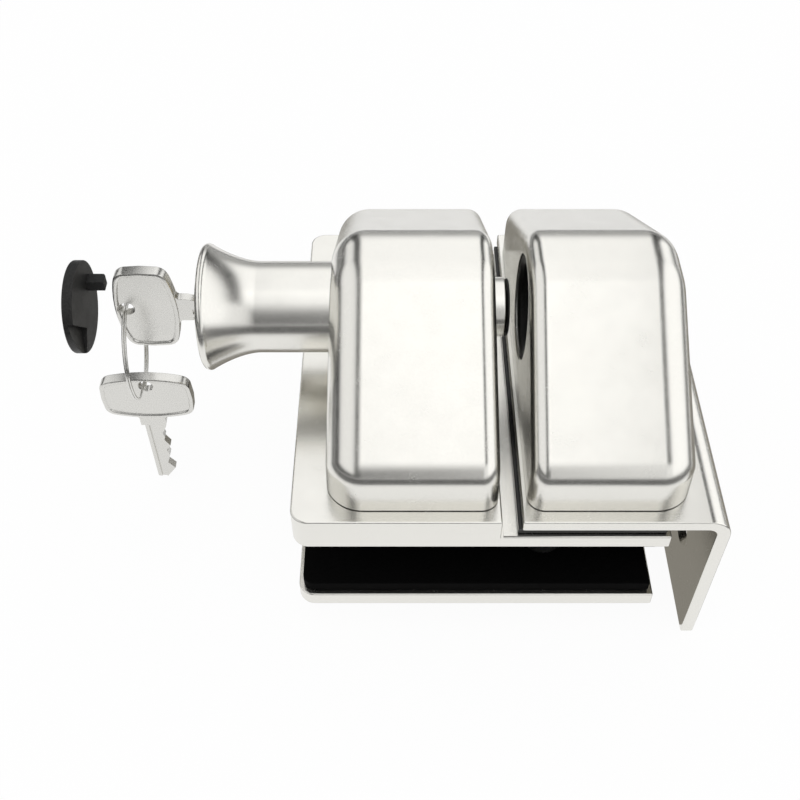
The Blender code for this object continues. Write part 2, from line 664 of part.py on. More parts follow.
def knob_cap(parent):
    """Black cap with one prong and a ramped pry notch on its inner side."""
    right = CAP_LEFT + CAP_GAUGE
    profile = [(CAP_LEFT, 0), (CAP_LEFT, CAP_RADIUS - CAP_EDGE), (CAP_LEFT + CAP_EDGE, CAP_RADIUS),
               (right - CAP_EDGE / 2, CAP_RADIUS), (right, CAP_RADIUS - CAP_EDGE / 2), (right, 0)]
    cap = new_object("knob_cap", turned(profile, FINE_SIDES), black_plastic("knob_cap"), parent=parent)
    at = (0, 0, AXIS_Z)
    root = right - CAP_EDGE
    tip = right + PRONG_LENGTH
    near = PRONG_Y - PRONG_WIDTH / 2
    far = PRONG_Y + PRONG_WIDTH / 2
    prong = [(root, near), (tip, near), (tip, far - CAP_EDGE), (tip - CAP_EDGE, far), (root, far)]
    join(cap, prism(prong, PRONG_Z - PRONG_HEIGHT / 2, PRONG_Z + PRONG_HEIGHT / 2), "cap_prong", at)
    near = PRY_NOTCH_Y - PRY_NOTCH_WIDTH / 2
    far = PRY_NOTCH_Y + PRY_NOTCH_WIDTH / 2
    ramp = [(right, near), (right + OVERCUT, near), (right + OVERCUT, far), (right - PRY_NOTCH_DEPTH, far)]
    notch = prism(ramp, PRY_NOTCH_Z - PRY_NOTCH_HEIGHT / 2, PRY_NOTCH_Z + PRY_NOTCH_HEIGHT / 2)
    cut(cap, notch, "cap_notch", at)


def lock_barrel(parent):
    bore = PLUG_RADIUS + RUNNING_GAP
    lip = PLUG_LIP_RADIUS + RUNNING_GAP
    lip_end = MOUTH_FLOOR - PLUG_PROUD + PLUG_LIP_LENGTH + SEAT
    profile = [(MOUTH_FLOOR, lip), (MOUTH_FLOOR, BARREL_RADIUS), (BARREL_RIGHT, BARREL_RADIUS),
               (BARREL_RIGHT, bore), (lip_end, bore), (lip_end, lip)]
    new_object("lock_barrel", turned(profile, SIDES), bright_steel("lock_barrel"), parent=parent)


def lock_plug(parent):
    """Turning core of the lock, slotted for the key and tapped for the cam's screw."""
    left = MOUTH_FLOOR - PLUG_PROUD
    hole = CAM_SCREW_RADIUS + SEAT
    hole_end = BARREL_RIGHT - CAM_SCREW_GRIP - SEAT
    profile = [(left, 0), (left, PLUG_LIP_RADIUS), (left + PLUG_LIP_LENGTH, PLUG_LIP_RADIUS),
               (left + PLUG_LIP_LENGTH, PLUG_RADIUS), (BARREL_RIGHT, PLUG_RADIUS), (BARREL_RIGHT, hole),
               (hole_end, hole), (hole_end, 0)]
    plug = new_object("lock_plug", turned(profile, SIDES), look("lock_plug", (0.75, 0.66, 0.42), 0.35, 1.0),
                      parent=parent)
    thick = BLADE_GAUGE / 2 + SEAT
    slot = block((left - OVERCUT, -thick, -BLADE_BACK - SEAT),
                 (KEY_TIP_X + SEAT, thick, BLADE_FRONT + SEAT))
    cut(plug, slot, "keyway", (0, 0, AXIS_Z))


def lock_cam(parent):
    left = BARREL_RIGHT + SEAT
    hole = CAM_SCREW_RADIUS + SEAT
    cam = new_object("lock_cam", tube(left, left + CAM_GAUGE, CAM_RADIUS, hole), bright_steel("lock_cam"),
                     parent=parent)
    tongue = block((left, -CAM_TONGUE_WIDTH / 2, -CAM_REACH),
                   (left + CAM_GAUGE, CAM_TONGUE_WIDTH / 2, -CAM_RADIUS / 2))
    join(cam, tongue, "cam_tongue", (0, 0, AXIS_Z))
    head_left = left + CAM_GAUGE + SEAT
    head_right = head_left + CAM_SCREW_HEAD_LENGTH
    tip = BARREL_RIGHT - CAM_SCREW_GRIP
    profile = [(tip, 0), (tip, CAM_SCREW_RADIUS), (head_left, CAM_SCREW_RADIUS),
               (head_left, CAM_SCREW_HEAD_RADIUS), (head_right, CAM_SCREW_HEAD_RADIUS), (head_right, 0)]
    screw = new_object("cam_screw", turned(profile, SMALL_SIDES), bright_steel("cam_screw"), parent=parent)
    slot = block((head_left + CAM_SCREW_HEAD_LENGTH / 2, -CAM_SCREW_HEAD_RADIUS, -SEAT),
                 (head_right + OVERCUT, CAM_SCREW_HEAD_RADIUS, SEAT))
    cut(screw, slot, "cam_screw_slot", (0, 0, AXIS_Z))


def bow_outline(inset=0.0):
    """Bow of the key about its own centre: two bulged long sides, blunt ends and round corners."""
    half_width = BOW_WIDTH / 2 - inset
    half_length = BOW_LENGTH / 2 - inset
    points = []
    radii = []
    for side in (1, -1):
        for step in range(BOW_STEPS + 1):
            share = side * (2 * step / BOW_STEPS - 1)
            corner = step in (0, BOW_STEPS)
            width = half_width - (BOW_END_BULGE if corner else 0)
            points.append((width * share, side * (half_length - BOW_BULGE * share ** 2)))
            radii.append(BOW_CORNER - inset if corner else 0)
        points.append((side * half_width, 0))
        radii.append(0)
    return filleted(points, radii, 4)


def neck_fillet(x, edge, side):
    """Arc from the bow's edge into the side of the neck, read away from the bow."""
    points = []
    for step in range(3):
        turn = math.pi / 4 * step
        points.append((x + side * NECK_FILLET * (1 - math.sin(turn)),
                       edge - NECK_FILLET * (1 - math.cos(turn))))
    return points


def blade_outline(bow_centre):
    """Neck, blade and its cuts, drawn from inside the bow to the tip."""
    x = bow_centre[0]
    bow_end = KEY_HOLE_INSET - BOW_LENGTH
    shoulder = bow_end - NECK_LENGTH
    tip = KEY_HOLE_INSET - KEY_LENGTH
    inside = bow_end + BOW_BULGE
    edge = bow_end + BOW_BULGE * (NECK_WIDTH / BOW_WIDTH) ** 2
    left = x - NECK_WIDTH / 2
    right = x + NECK_WIDTH / 2
    back = x - BLADE_BACK
    front = x + BLADE_FRONT
    outline = [(left - NECK_FILLET, inside)] + neck_fillet(left, edge, -1)
    outline += [(left, shoulder), (back, shoulder), (back, tip + BLADE_TIP_FLAT / 3),
                (back + BLADE_TIP_FLAT, tip), (back + 2 * BLADE_TIP_FLAT, tip)]
    outline += [(front - depth, tip + distance) for distance, depth in BITTING]
    outline += [(right, shoulder + NECK_LENGTH / 3)] + neck_fillet(right, edge, 1)[::-1]
    outline += [(right + NECK_FILLET, inside)]
    return outline


def key_mesh(name):
    """Key about its ring hole, made once and shared by both keys."""
    centre = (-KEY_HOLE_OFFSET, KEY_HOLE_INSET - BOW_LENGTH / 2)
    half = KEY_GAUGE / 2
    bow = [(centre[0] + x, centre[1] + z) for x, z in bow_outline()]
    face = [(centre[0] + x, centre[1] + z) for x, z in bow_outline(BOW_RIM)]
    key = new_object(name, prism(bow, -half, half, "Y"), bright_steel(name))
    for side_name, side in ends():
        low, high = sorted((side * (half - BOW_RECESS), side * (half + OVERCUT)))
        cut(key, prism(face, low, high, "Y"), f"{name}_recess_{side_name}")
    blade = prism(blade_outline(centre), -BLADE_GAUGE / 2, BLADE_GAUGE / 2, "Y")
    join(key, blade, name + "_blade")
    hole = turned([(-OVERCUT, 0), (-OVERCUT, KEY_HOLE_RADIUS), (OVERCUT, KEY_HOLE_RADIUS), (OVERCUT, 0)],
                  SMALL_SIDES)
    hole.transform(Matrix.Rotation(math.pi / 2, 4, "Z"))
    cut(key, hole, name + "_hole")
    tip = KEY_HOLE_INSET - KEY_LENGTH
    shoulder = KEY_HOLE_INSET - BOW_LENGTH - NECK_LENGTH
    for index, side in enumerate((-1, -1, 1)):
        middle = centre[0] - GROOVE_PITCH * (1 - index / 2) + GROOVE_PITCH / 4
        low, high = sorted((side * (BLADE_GAUGE / 2 - GROOVE_DEPTH), side * (BLADE_GAUGE / 2 + OVERCUT)))
        groove = block((middle - GROOVE_WIDTH / 2, low, tip - OVERCUT),
                       (middle + GROOVE_WIDTH / 2, high, shoulder))
        cut(key, groove, f"{name}_groove_{index}")
    return key


def evaluated_copy(source, name, parent, at, rotation=(0, 0, 0)):
    """Second object with the finished form of another one."""
    graph = bpy.context.evaluated_depsgraph_get()
    mesh = bpy.data.meshes.new_from_object(source.evaluated_get(graph))
    mesh.name = name
    mesh.materials.clear()
    mesh.materials.append(bright_steel(name))
    obj = bpy.data.objects.new(name, mesh)
    bpy.context.scene.collection.objects.link(obj)
    obj.parent = parent
    obj.location = Vector(at) * MM
    obj.rotation_euler = rotation
    return obj


def keys(lock_axis, spare_axis):
    pattern = key_mesh("key_pattern")
    evaluated_copy(pattern, "key_in_lock", lock_axis, (KEY_HOLE_X, 0, KEY_HOLE_Z), (0, -math.pi / 2, 0))
    evaluated_copy(pattern, "spare_key", spare_axis, (0, 0, SPARE_HOLE_Z - (RING_TOP_Z - 2 * RING_RADIUS)))
    pattern.hide_render = True
    pattern.display_type = "WIRE"


def swept_wire(path, sides, radius):
    """Round wire along a path of (point, direction away from the middle, direction along)."""
    bm = bmesh.new()
    rings = []
    for point, out, along in path:
        across = along.cross(out)
        ring = []
        for side in range(sides):
            turn = 2 * math.pi * side / sides
            ring.append(bm.verts.new(point + radius * (math.cos(turn) * out + math.sin(turn) * across)))
        rings.append(ring)
    for near, far in zip(rings, rings[1:]):
        for index in range(sides):
            bm.faces.new((near[index - 1], near[index], far[index], far[index - 1]))
    bm.faces.new(rings[0])
    bm.faces.new(rings[-1][::-1])
    return bm


def coil_path(radius, degrees, steps_a_turn, place):
    """Points of a coil about X that starts at its top; place gives the distance along X."""
    count = round(degrees / TURN * steps_a_turn)
    points = []
    for step in range(count + 1):
        turned_by = degrees * step / count
        out = Vector((0, math.sin(math.radians(turned_by)), math.cos(math.radians(turned_by))))
        points.append((Vector((place(turned_by), 0, 0)) + out * radius, out))
    path = []
    for index, (point, out) in enumerate(points):
        ahead = points[min(index + 1, count)][0] - points[max(index - 1, 0)][0]
        path.append((point, out, (ahead - ahead.dot(out) * out).normalized()))
    return path


def key_ring(parent):
    """Split ring: two turns side by side, with one crossing between the two overlapping ends."""
    def place(turned_by):
        crossed = min(max((turned_by - (TURN - RING_CROSSING)) / RING_CROSSING, 0), 1)
        return RING_TURN_OFFSET * (2 * crossed - 1)

    path = coil_path(RING_RADIUS, 2 * TURN - RING_OVERLAP, RING_STEPS_A_TURN, place)
    bm = swept_wire(path, RING_WIRE_SIDES, RING_WIRE_RADIUS)
    bm.transform(Matrix.Rotation(math.radians(RING_START), 4, "X"))
    new_object("key_ring", bm, bright_steel("key_ring"), (0, 0, -RING_RADIUS), parent)


def return_spring():
    left = KNOB_RIGHT + SEAT + SPRING_WIRE_RADIUS
    right = BOLT_BUSH_RIGHT - BOLT_BUSH_LENGTH - SEAT - SPRING_WIRE_RADIUS
    degrees = TURN * SPRING_TURNS

    def place(turned_by):
        return left + (right - left) * turned_by / degrees

    path = coil_path(SPRING_RADIUS, degrees, SPRING_STEPS_A_TURN, place)
    new_object("return_spring", swept_wire(path, SPRING_WIRE_SIDES, SPRING_WIRE_RADIUS),
               bright_steel("return_spring"), (0, 0, AXIS_Z))


def keeper_bracket():
    """Folded plate: a shelf that meets the gate's tongue and a leg that goes on the wall."""
    bottom = DECK - BRACKET_DROP
    inner = BRACKET_FACE - BRACKET_GAUGE
    shelf = DECK - BRACKET_GAUGE
    points = [(BRACKET_LEFT, DECK), (BRACKET_FACE, DECK), (BRACKET_FACE, bottom), (inner, bottom),
              (inner, shelf), (BRACKET_LEFT, shelf)]
    outline = filleted(points, (0, BRACKET_BEND, 0, 0, BRACKET_BEND - BRACKET_GAUGE, 0), 6)
    bracket = new_object("keeper_bracket", prism(outline, -HALF_DEPTH, HALF_DEPTH, "Y"),
                         satin_steel("keeper_bracket"))
    break_edges(bracket, PLATE_BREAK)
    profile = sink_profile(WALL_SINK_RADIUS - SEAT, WALL_SCREW_RADIUS - SEAT, BRACKET_GAUGE + OVERCUT)
    for end, side in ends():
        cut(bracket, turned(profile, SIDES), "wall_hole_" + end,
            (inner, side * WALL_SCREW_Y, DECK - WALL_SCREW_DROP))
        screw_hole(bracket, "keeper_screw_hole_" + end, HOUSING_HEAD_RADIUS, HOUSING_SHANK_RADIUS,
                   BRACKET_GAUGE + OVERCUT, (KEEPER_SCREW_X, side * HOUSING_SCREW_Y, shelf))


def keeper_housing():
    collar_end = CUP_RIGHT + MAGNET_GAUGE + 2 * SEAT
    collar = rod(KEEPER_LEFT - OVERCUT, collar_end + COLLAR_WALL, CUP_RADIUS + SEAT + COLLAR_WALL, SIDES)
    at = (0, 0, AXIS_Z)
    cores = post_cores(KEEPER_SCREW_X) + [(collar, at)]
    shell = housing("keeper_housing", KEEPER_LEFT, KEEPER_RIGHT, False, cores)
    cut(shell, rod(KEEPER_LEFT - OVERCUT, collar_end, STRIKE_RADIUS, FINE_SIDES), "strike_hole", at)
    pilot_holes(shell, "keeper", KEEPER_SCREW_X)


def strike_cup():
    """Black cup that the bolt enters, and the magnet behind its floor that draws the bolt in."""
    at = (0, 0, AXIS_Z)
    inner = CUP_RADIUS - CUP_WALL
    lip = CUP_WALL / 2
    floor = CUP_LEFT + CUP_DEPTH
    profile = [(floor, 0), (floor, inner), (CUP_LEFT + lip, inner), (CUP_LEFT, inner + lip),
               (CUP_LEFT, CUP_RADIUS), (CUP_RIGHT, CUP_RADIUS), (CUP_RIGHT, 0)]
    new_object("strike_cup", turned(profile, FINE_SIDES), black_plastic("strike_cup"), at)
    left = CUP_RIGHT + SEAT
    new_object("keeper_magnet", rod(left, left + MAGNET_GAUGE, CUP_RADIUS),
               look("keeper_magnet", (0.2, 0.2, 0.2), 0.45, 0.8), at)


def gate_half():
    base_plate()
    gasket("base_gasket", 0.0, BASE_GASKET_INSET)
    gasket("clamp_gasket", -GLASS_SPACE - GASKET_GAUGE, CLAMP_GASKET_INSET)
    clamp_plate()
    clamp_fasteners()
    buffer_strip()
    latch_housing()
    housing_screws("latch_screw", LATCH_SCREW_X, PLATE_BOTTOM, PLATE_GAUGE)
    bushes()
    return_spring()


def moving_pieces():
    travel_axis = axis_empty("bolt_travel_axis", (0, 0, AXIS_Z))
    knob(travel_axis)
    stop_ring(travel_axis)
    latch_bolt(travel_axis)
    bolt_screw(travel_axis)
    knob_cap(travel_axis)
    lock_barrel(travel_axis)
    lock_axis = axis_empty("key_turn_axis", (0, 0, 0), travel_axis)
    lock_plug(lock_axis)
    lock_cam(lock_axis)
    ring_axis = axis_empty("ring_swing_axis", (RING_X, 0, RING_TOP_Z - AXIS_Z), lock_axis)
    key_ring(ring_axis)
    spare_axis = axis_empty("spare_key_swing_axis", (-RING_PLAY, 0, -2 * RING_RADIUS), ring_axis)
    keys(lock_axis, spare_axis)


def keeper_half():
    keeper_bracket()
    keeper_housing()
    housing_screws("keeper_screw", KEEPER_SCREW_X, DECK - BRACKET_GAUGE, BRACKET_GAUGE)
    strike_cup()


def main():
    clear_scene()
    gate_half()
    moving_pieces()
    keeper_half()


main()
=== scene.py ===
"""Looks of the glass gate latch: finer pieces, finishes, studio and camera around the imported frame.

Pieces are drawn in millimetres in the frame's axes: X along the bolt, Y across it, Z up.
settle() turns each one into metres and hands it to its body.
"""
import math

import bmesh
import bpy
from mathutils import Matrix, Vector


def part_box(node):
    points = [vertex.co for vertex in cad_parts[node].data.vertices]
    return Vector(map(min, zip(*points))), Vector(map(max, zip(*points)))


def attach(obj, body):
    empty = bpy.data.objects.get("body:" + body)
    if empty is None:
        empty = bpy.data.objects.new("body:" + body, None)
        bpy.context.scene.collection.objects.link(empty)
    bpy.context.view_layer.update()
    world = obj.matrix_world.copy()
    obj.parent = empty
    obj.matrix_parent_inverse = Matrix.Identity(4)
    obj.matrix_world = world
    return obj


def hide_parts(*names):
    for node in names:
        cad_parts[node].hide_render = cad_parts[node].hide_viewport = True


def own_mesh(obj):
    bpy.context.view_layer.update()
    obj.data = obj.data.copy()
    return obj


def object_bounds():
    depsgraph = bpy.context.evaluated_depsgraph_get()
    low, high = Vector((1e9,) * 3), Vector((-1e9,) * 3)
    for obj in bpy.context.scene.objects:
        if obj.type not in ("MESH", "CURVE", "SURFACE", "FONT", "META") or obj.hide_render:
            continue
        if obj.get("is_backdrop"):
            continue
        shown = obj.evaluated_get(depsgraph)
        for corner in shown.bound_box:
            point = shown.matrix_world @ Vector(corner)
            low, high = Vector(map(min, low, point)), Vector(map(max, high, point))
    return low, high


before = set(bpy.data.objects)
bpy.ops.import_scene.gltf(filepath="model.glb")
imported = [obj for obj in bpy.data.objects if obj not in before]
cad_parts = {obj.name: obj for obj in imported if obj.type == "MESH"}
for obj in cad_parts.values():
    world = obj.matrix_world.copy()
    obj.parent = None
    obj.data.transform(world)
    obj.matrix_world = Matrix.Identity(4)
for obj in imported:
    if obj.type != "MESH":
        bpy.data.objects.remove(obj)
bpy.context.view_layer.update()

MM = 0.001
WELD = 0.0001
OVERCUT = 2.0
SEAT = 0.3
SHARP_ANGLE = math.radians(40)
FINE_SIDES = 160
SIDES = 72
SMALL_SIDES = 40
BEVEL_STEPS = 3
LEAST_RADIUS = 1.0

# Camera, found from the edges of the plates in the photograph
LENS = 48.51
SENSOR_WIDTH = 36.0
CAMERA_PLACE = (-0.02315, -0.18939, 0.21327)
CAMERA_DIP = 48.643
CAMERA_NEAR = 0.01


def node_box(name):
    low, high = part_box(name)
    return low / MM, high / MM


# Places that the frame gives
BASE_LOW, BASE_HIGH = node_box("base_plate")
CLAMP_LOW, CLAMP_HIGH = node_box("clamp_plate")
STRIP_LOW, STRIP_HIGH = node_box("buffer_strip")
BRACKET_LOW, BRACKET_HIGH = node_box("keeper_bracket")
LATCH_LOW, LATCH_HIGH = node_box("latch_housing")
KEEPER_LOW, KEEPER_HIGH = node_box("keeper_housing")
KNOB_LOW, KNOB_HIGH = node_box("knob")
BOLT_LOW, BOLT_HIGH = node_box("latch_bolt")
BARREL_LOW, BARREL_HIGH = node_box("lock_barrel")
PLUG_LOW, PLUG_HIGH = node_box("lock_plug")
CAP_LOW, CAP_HIGH = node_box("knob_cap")
CUP_LOW, CUP_HIGH = node_box("strike_cup")
SPRING_LOW, SPRING_HIGH = node_box("return_spring")
KEY_LOW, KEY_HIGH = node_box("key_in_lock")
SPARE_LOW, SPARE_HIGH = node_box("spare_key")
KNOB_BUSH_LOW, KNOB_BUSH_HIGH = node_box("knob_bush")
BOLT_BUSH_LOW, BOLT_BUSH_HIGH = node_box("bolt_bush")
KNOB_BUSH_RADIUS = (KNOB_BUSH_HIGH.z - KNOB_BUSH_LOW.z) / 2
BOLT_BUSH_RADIUS = (BOLT_BUSH_HIGH.z - BOLT_BUSH_LOW.z) / 2
RING_LOW, RING_HIGH = node_box("key_ring")
AXIS_Z = (KNOB_LOW.z + KNOB_HIGH.z) / 2
AXIS = (0, 0, AXIS_Z)

# Plates
PLAN_CORNER = 4.0
PLATE_BREAK = 0.4
STEP_X = 0.0
TONGUE_TOP = BASE_LOW.z + 4.0
STEP_RELIEF = 0.6
BRACKET_GAUGE = 3.2
BRACKET_BEND = 5.5
WALL_SCREW = (31.0, 29.0)
WALL_SHANK_RADIUS = 3.0
WALL_SINK_RADIUS = 4.7
CLAMP_SCREW = (12.7, 34.5)
CLAMP_SHANK_RADIUS = 3.0
CLAMP_HEAD_RADIUS = 5.4
HOUSING_SCREW_Y = 33.0
HOUSING_SHANK_RADIUS = 2.0
HOUSING_HEAD_RADIUS = 3.8
SCREW_RIM = 0.25
SLEEVE_EDGE = 0.3
RUBBER_EDGE = 0.3

# Housings
WALL_HEIGHT = 11.9
CREST_HALF_WIDTH = 6.8
CREST_RADIUS = 13.0
SHOULDER_RADIUS = 7.0
SHELL = 2.2
DRAFT = 0.0011
OUTER_FILLET = 8.6
INNER_FILLET = 4.1
FILLET_STEPS = 14
POST_RADIUS = 4.2
POST_GRIP = 9.0
COLLAR_WALL = 3.2
HOLE_ROUND = 0.45
KNOB_HOLE_RADIUS = 11.45
BOLT_HOLE_RADIUS = 8.0
STRIKE_RADIUS = 12.85
CUP_WALL = 2.0
CUP_ROUND = 1

# Knob, lock and bolt
KNOB_RADIUS = 11.0
KNOB_BORE_RADIUS = 9.3
KNOB_END_WALL = 3.0
FLARE_LENGTH = 12.2
FLARE_POWER = 1.7
FLARE_STEPS = 28
RIM_RADIUS = 1.3
BEAD_START = 48
CAP_SINK = 2.8
BOLT_SCREW_RADIUS = 3.0
GROOVE_LENGTH = 1.3
GROOVE_SINK = 0.8
BARREL_BORE_RADIUS = 6.45
LOCK_PLAY = 0.25
LOCK_EDGE = 0.3
LIP_LENGTH = 1.2
CAM_SCREW_HOLE = (1.9, 2.5)
BOLT_SHANK_RADIUS = 5.0
BOLT_HEAD_LENGTH = 14.0
BOLT_PEG_RADIUS = 3.2
BOLT_PEG_LENGTH = 4.0
BOLT_EDGE = 0.5

# Cap, whose prong and notch are placed across and along the bolt's axis
CAP_GAUGE = 2.5
CAP_EDGE = 0.45
PRONG_WIDTH = 3.2
PRONG_HEIGHT = 2.8
PRONG_PLACE = (6.2, 2.4)
NOTCH_DEPTH = 1.3
NOTCH_START = 5.0
NOTCH_END = 1.2
NOTCH_TURN = 222

# Keys, drawn about the ring hole with the blade down
KEY_GAUGE = 3.0
BLADE_GAUGE = 2.2
BOW_WIDTH = 24.2
BOW_LENGTH = 15.2
BOW_BULGE = 1.9
BOW_END_BULGE = 0.4
BOW_CORNER = 3.0
BOW_STEPS = 24
KEY_HOLE_RADIUS = 1.75
KEY_HOLE_INSET = 2.9
KEY_HOLE_OFFSET = 0.4
NECK_WIDTH = 7.0
NECK_LENGTH = 3.4
NECK_FILLET = 1.0
KEY_LENGTH = 41.4
BLADE_BACK = 2.5
BLADE_FRONT = 3.1
BLADE_TIP_FLAT = 1.3
BLADE_EDGE = 0.1
KEY_HOLE_LIP = 0.2
# Cuts of the blade: distance from the tip, depth
BITTING = ((4.0, 0.15), (6.4, 1.9), (9.9, 0.8), (12.0, 1.35), (14.0, 0.05),
           (16.4, 1.35), (17.7, 0.95), (19.3, 1.3), (21.9, 0.1))
# Raised rim of the bow: distance from the edge, depth below the rim's top
RIM_SECTION = ((0.0, 0.45), (0.1, 0.14), (0.42, 0.0), (0.78, 0.0), (1.0, 0.1), (1.15, 0.34), (1.3, 0.4))
KEY_GROOVE_WIDTH = 0.8
KEY_GROOVE_DEPTH = 0.45
KEY_GROOVE_PITCH = 1.4

# Wires, with angles in degrees
TURN = 360
RING_TURN_OFFSET = 0.29
RING_WIRE_RADIUS = 0.28
RING_WIRE_SIDES = 16
RING_STEPS = 120
RING_YAW = 3
RING_SHIFT = -0.4
RING_OVERLAP = 40
RING_CROSSING = 36
RING_START = 130
SPRING_WIRE_RADIUS = 0.5
SPRING_WIRE_SIDES = 12
SPRING_STEPS = 48
SPRING_TURNS = 4.5
# Rounded end of a wire, in wire radii: distance along the wire, radius
WIRE_END = ((-0.9, 0.45), (-0.55, 0.83))

# Finishes: lighter and darker colour, metallic, lowest and highest roughness, noise scale of the grain,
# its depth in metres, specular level, and how the grain is stretched
EVEN = (1, 1, 1)
PLAIN = 0.5
FINISHES = {
    "satin_steel": ((0.84, 0.828, 0.785), (0.79, 0.778, 0.735), 1.0, (0.20, 0.29), 2600, 4.5e-6, PLAIN, EVEN),
    "turned_steel": ((0.84, 0.828, 0.785), (0.79, 0.778, 0.735), 1.0, (0.19, 0.28), 2200, 3.5e-6, PLAIN,
                     (1.6, 0.7, 0.7)),
    "key_steel": ((0.75, 0.742, 0.71), (0.65, 0.643, 0.615), 1.0, (0.22, 0.32), 2800, 2.8e-6, PLAIN, EVEN),
    "ring_steel": ((0.76, 0.755, 0.73), (0.66, 0.655, 0.63), 1.0, (0.14, 0.24), 2000, 2e-6, PLAIN, EVEN),
    "screw_steel": ((0.55, 0.55, 0.54), (0.45, 0.45, 0.44), 1.0, (0.25, 0.38), 1800, 3e-6, PLAIN, EVEN),
    "plug_brass": ((0.78, 0.66, 0.38), (0.66, 0.54, 0.30), 1.0, (0.24, 0.36), 2400, 3e-6, PLAIN, EVEN),
    "magnet": ((0.16, 0.16, 0.16), (0.09, 0.09, 0.09), 0.7, (0.4, 0.55), 1800, 1e-5, PLAIN, EVEN),
    "gasket_rubber": ((0.003, 0.003, 0.003), (0.0008, 0.0008, 0.0008), 0.0, (0.7, 0.9), 2600, 3e-5,
                      0.05, EVEN),
    "buffer_rubber": ((0.006, 0.006, 0.006), (0.001, 0.001, 0.001), 0.0, (0.1, 0.2), 1400, 4e-6, PLAIN, EVEN),
    "black_plastic": ((0.021, 0.021, 0.02), (0.004, 0.004, 0.004), 0.0, (0.40, 0.58), 2400, 4e-5, 0.35, EVEN),
}
GRAIN_DETAIL = 3
CLOUD_SCALE = 160
CLOUD_DETAIL = 4
NOISE_ROUGHNESS = 0.6
NOISE_MIDDLE = (0.3, 0.7)
# Small inner parts whose CAD mesh stays, by finish
BARE_NODES = {"black_plastic": ("knob_bush", "bolt_bush"),
              "screw_steel": ("stop_ring", "bolt_screw", "lock_cam", "cam_screw"),
              "magnet": ("keeper_magnet",)}


def link(name, bm):
    """Object in the scene from a mesh drawn in millimetres."""
    bm.normal_update()
    bmesh.ops.recalc_face_normals(bm, faces=bm.faces)
    mesh = bpy.data.meshes.new(name)
    bm.to_mesh(mesh)
    bm.free()
    obj = bpy.data.objects.new(name, mesh)
    bpy.context.scene.collection.objects.link(obj)
    return obj


def apply_modifiers(obj):
    graph = bpy.context.evaluated_depsgraph_get()
    mesh = bpy.data.meshes.new_from_object(obj.evaluated_get(graph))
    rough = obj.data
    obj.modifiers.clear()
    obj.data = mesh
    bpy.data.meshes.remove(rough)


def combine(obj, bm, operation="DIFFERENCE"):
    """Cut obj with a mesh, or join the mesh to it."""
    other = link("tool", bm)
    modifier = obj.modifiers.new("tool", "BOOLEAN")
    modifier.operation = operation
    modifier.solver = "EXACT"
    modifier.object = other
    apply_modifiers(obj)
    bpy.data.objects.remove(other, do_unlink=True)


def soften(obj, width, steps=BEVEL_STEPS):
    """Round every edge that turns sharply."""
    modifier = obj.modifiers.new("soften", "BEVEL")
    modifier.width = width
    modifier.segments = steps
    modifier.limit_method = "ANGLE"
    modifier.angle_limit = SHARP_ANGLE
    apply_modifiers(obj)


def settle(obj, nodes, body, look):
    """Turn a drawn piece into metres, shade it and let it stand for its nodes on its body."""
    obj.data.transform(Matrix.Scale(MM, 4))
    obj.data.shade_smooth()
    obj.data.set_sharp_from_angle(angle=SHARP_ANGLE)
    weighted = obj.modifiers.new("weighted", "WEIGHTED_NORMAL")
    weighted.keep_sharp = True
    obj.data.materials.clear()
    obj.data.materials.append(look)
    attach(obj, body)
    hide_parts(*nodes)
    return obj


def turned(profile, sides=SIDES, along="X", at=(0, 0, 0)):
    """Spin pairs of (distance along the axis, radius). A profile that starts off the axis is a ring."""
    bm = bmesh.new()
    verts = [bm.verts.new((x, 0, radius)) for x, radius in profile]
    edges = [bm.edges.new(pair) for pair in zip(verts, verts[1:])]
    if profile[0][1] > 0:
        edges.append(bm.edges.new((verts[-1], verts[0])))
    bmesh.ops.spin(bm, geom=verts + edges, cent=(0, 0, 0), axis=(1, 0, 0), angle=2 * math.pi,
                   steps=sides, use_merge=True)
    bmesh.ops.remove_doubles(bm, verts=bm.verts, dist=WELD)
    if along == "Z":
        bm.transform(Matrix.Rotation(-math.pi / 2, 4, "Y"))
    if along == "Y":
        bm.transform(Matrix.Rotation(math.pi / 2, 4, "Z"))
    bm.transform(Matrix.Translation(at))
    return bm


def rod(left, right, radius, sides=SIDES, along="X", at=(0, 0, 0)):
    return turned([(left, 0), (left, radius), (right, radius), (right, 0)], sides, along, at)


def prism(outline, low, high, along="Z", at=(0, 0, 0)):
    """Extrude an outline: one in X and Y along Z, or one in X and Z along Y."""
    bm = bmesh.new()
    face = bm.faces.new([bm.verts.new((a, b, low)) for a, b in outline])
    grown = bmesh.ops.extrude_face_region(bm, geom=[face])
    top = [item for item in grown["geom"] if isinstance(item, bmesh.types.BMVert)]
    bmesh.ops.translate(bm, vec=(0, 0, high - low), verts=top)
    if along == "Y":
        bm.transform(Matrix(((1, 0, 0, 0), (0, 0, 1, 0), (0, 1, 0, 0), (0, 0, 0, 1))))
    bm.transform(Matrix.Translation(at))
    return bm


def block(low, high, at=(0, 0, 0)):
    outline = [(low[0], low[1]), (high[0], low[1]), (high[0], high[1]), (low[0], high[1])]
    return prism(outline, low[2], high[2], at=at)


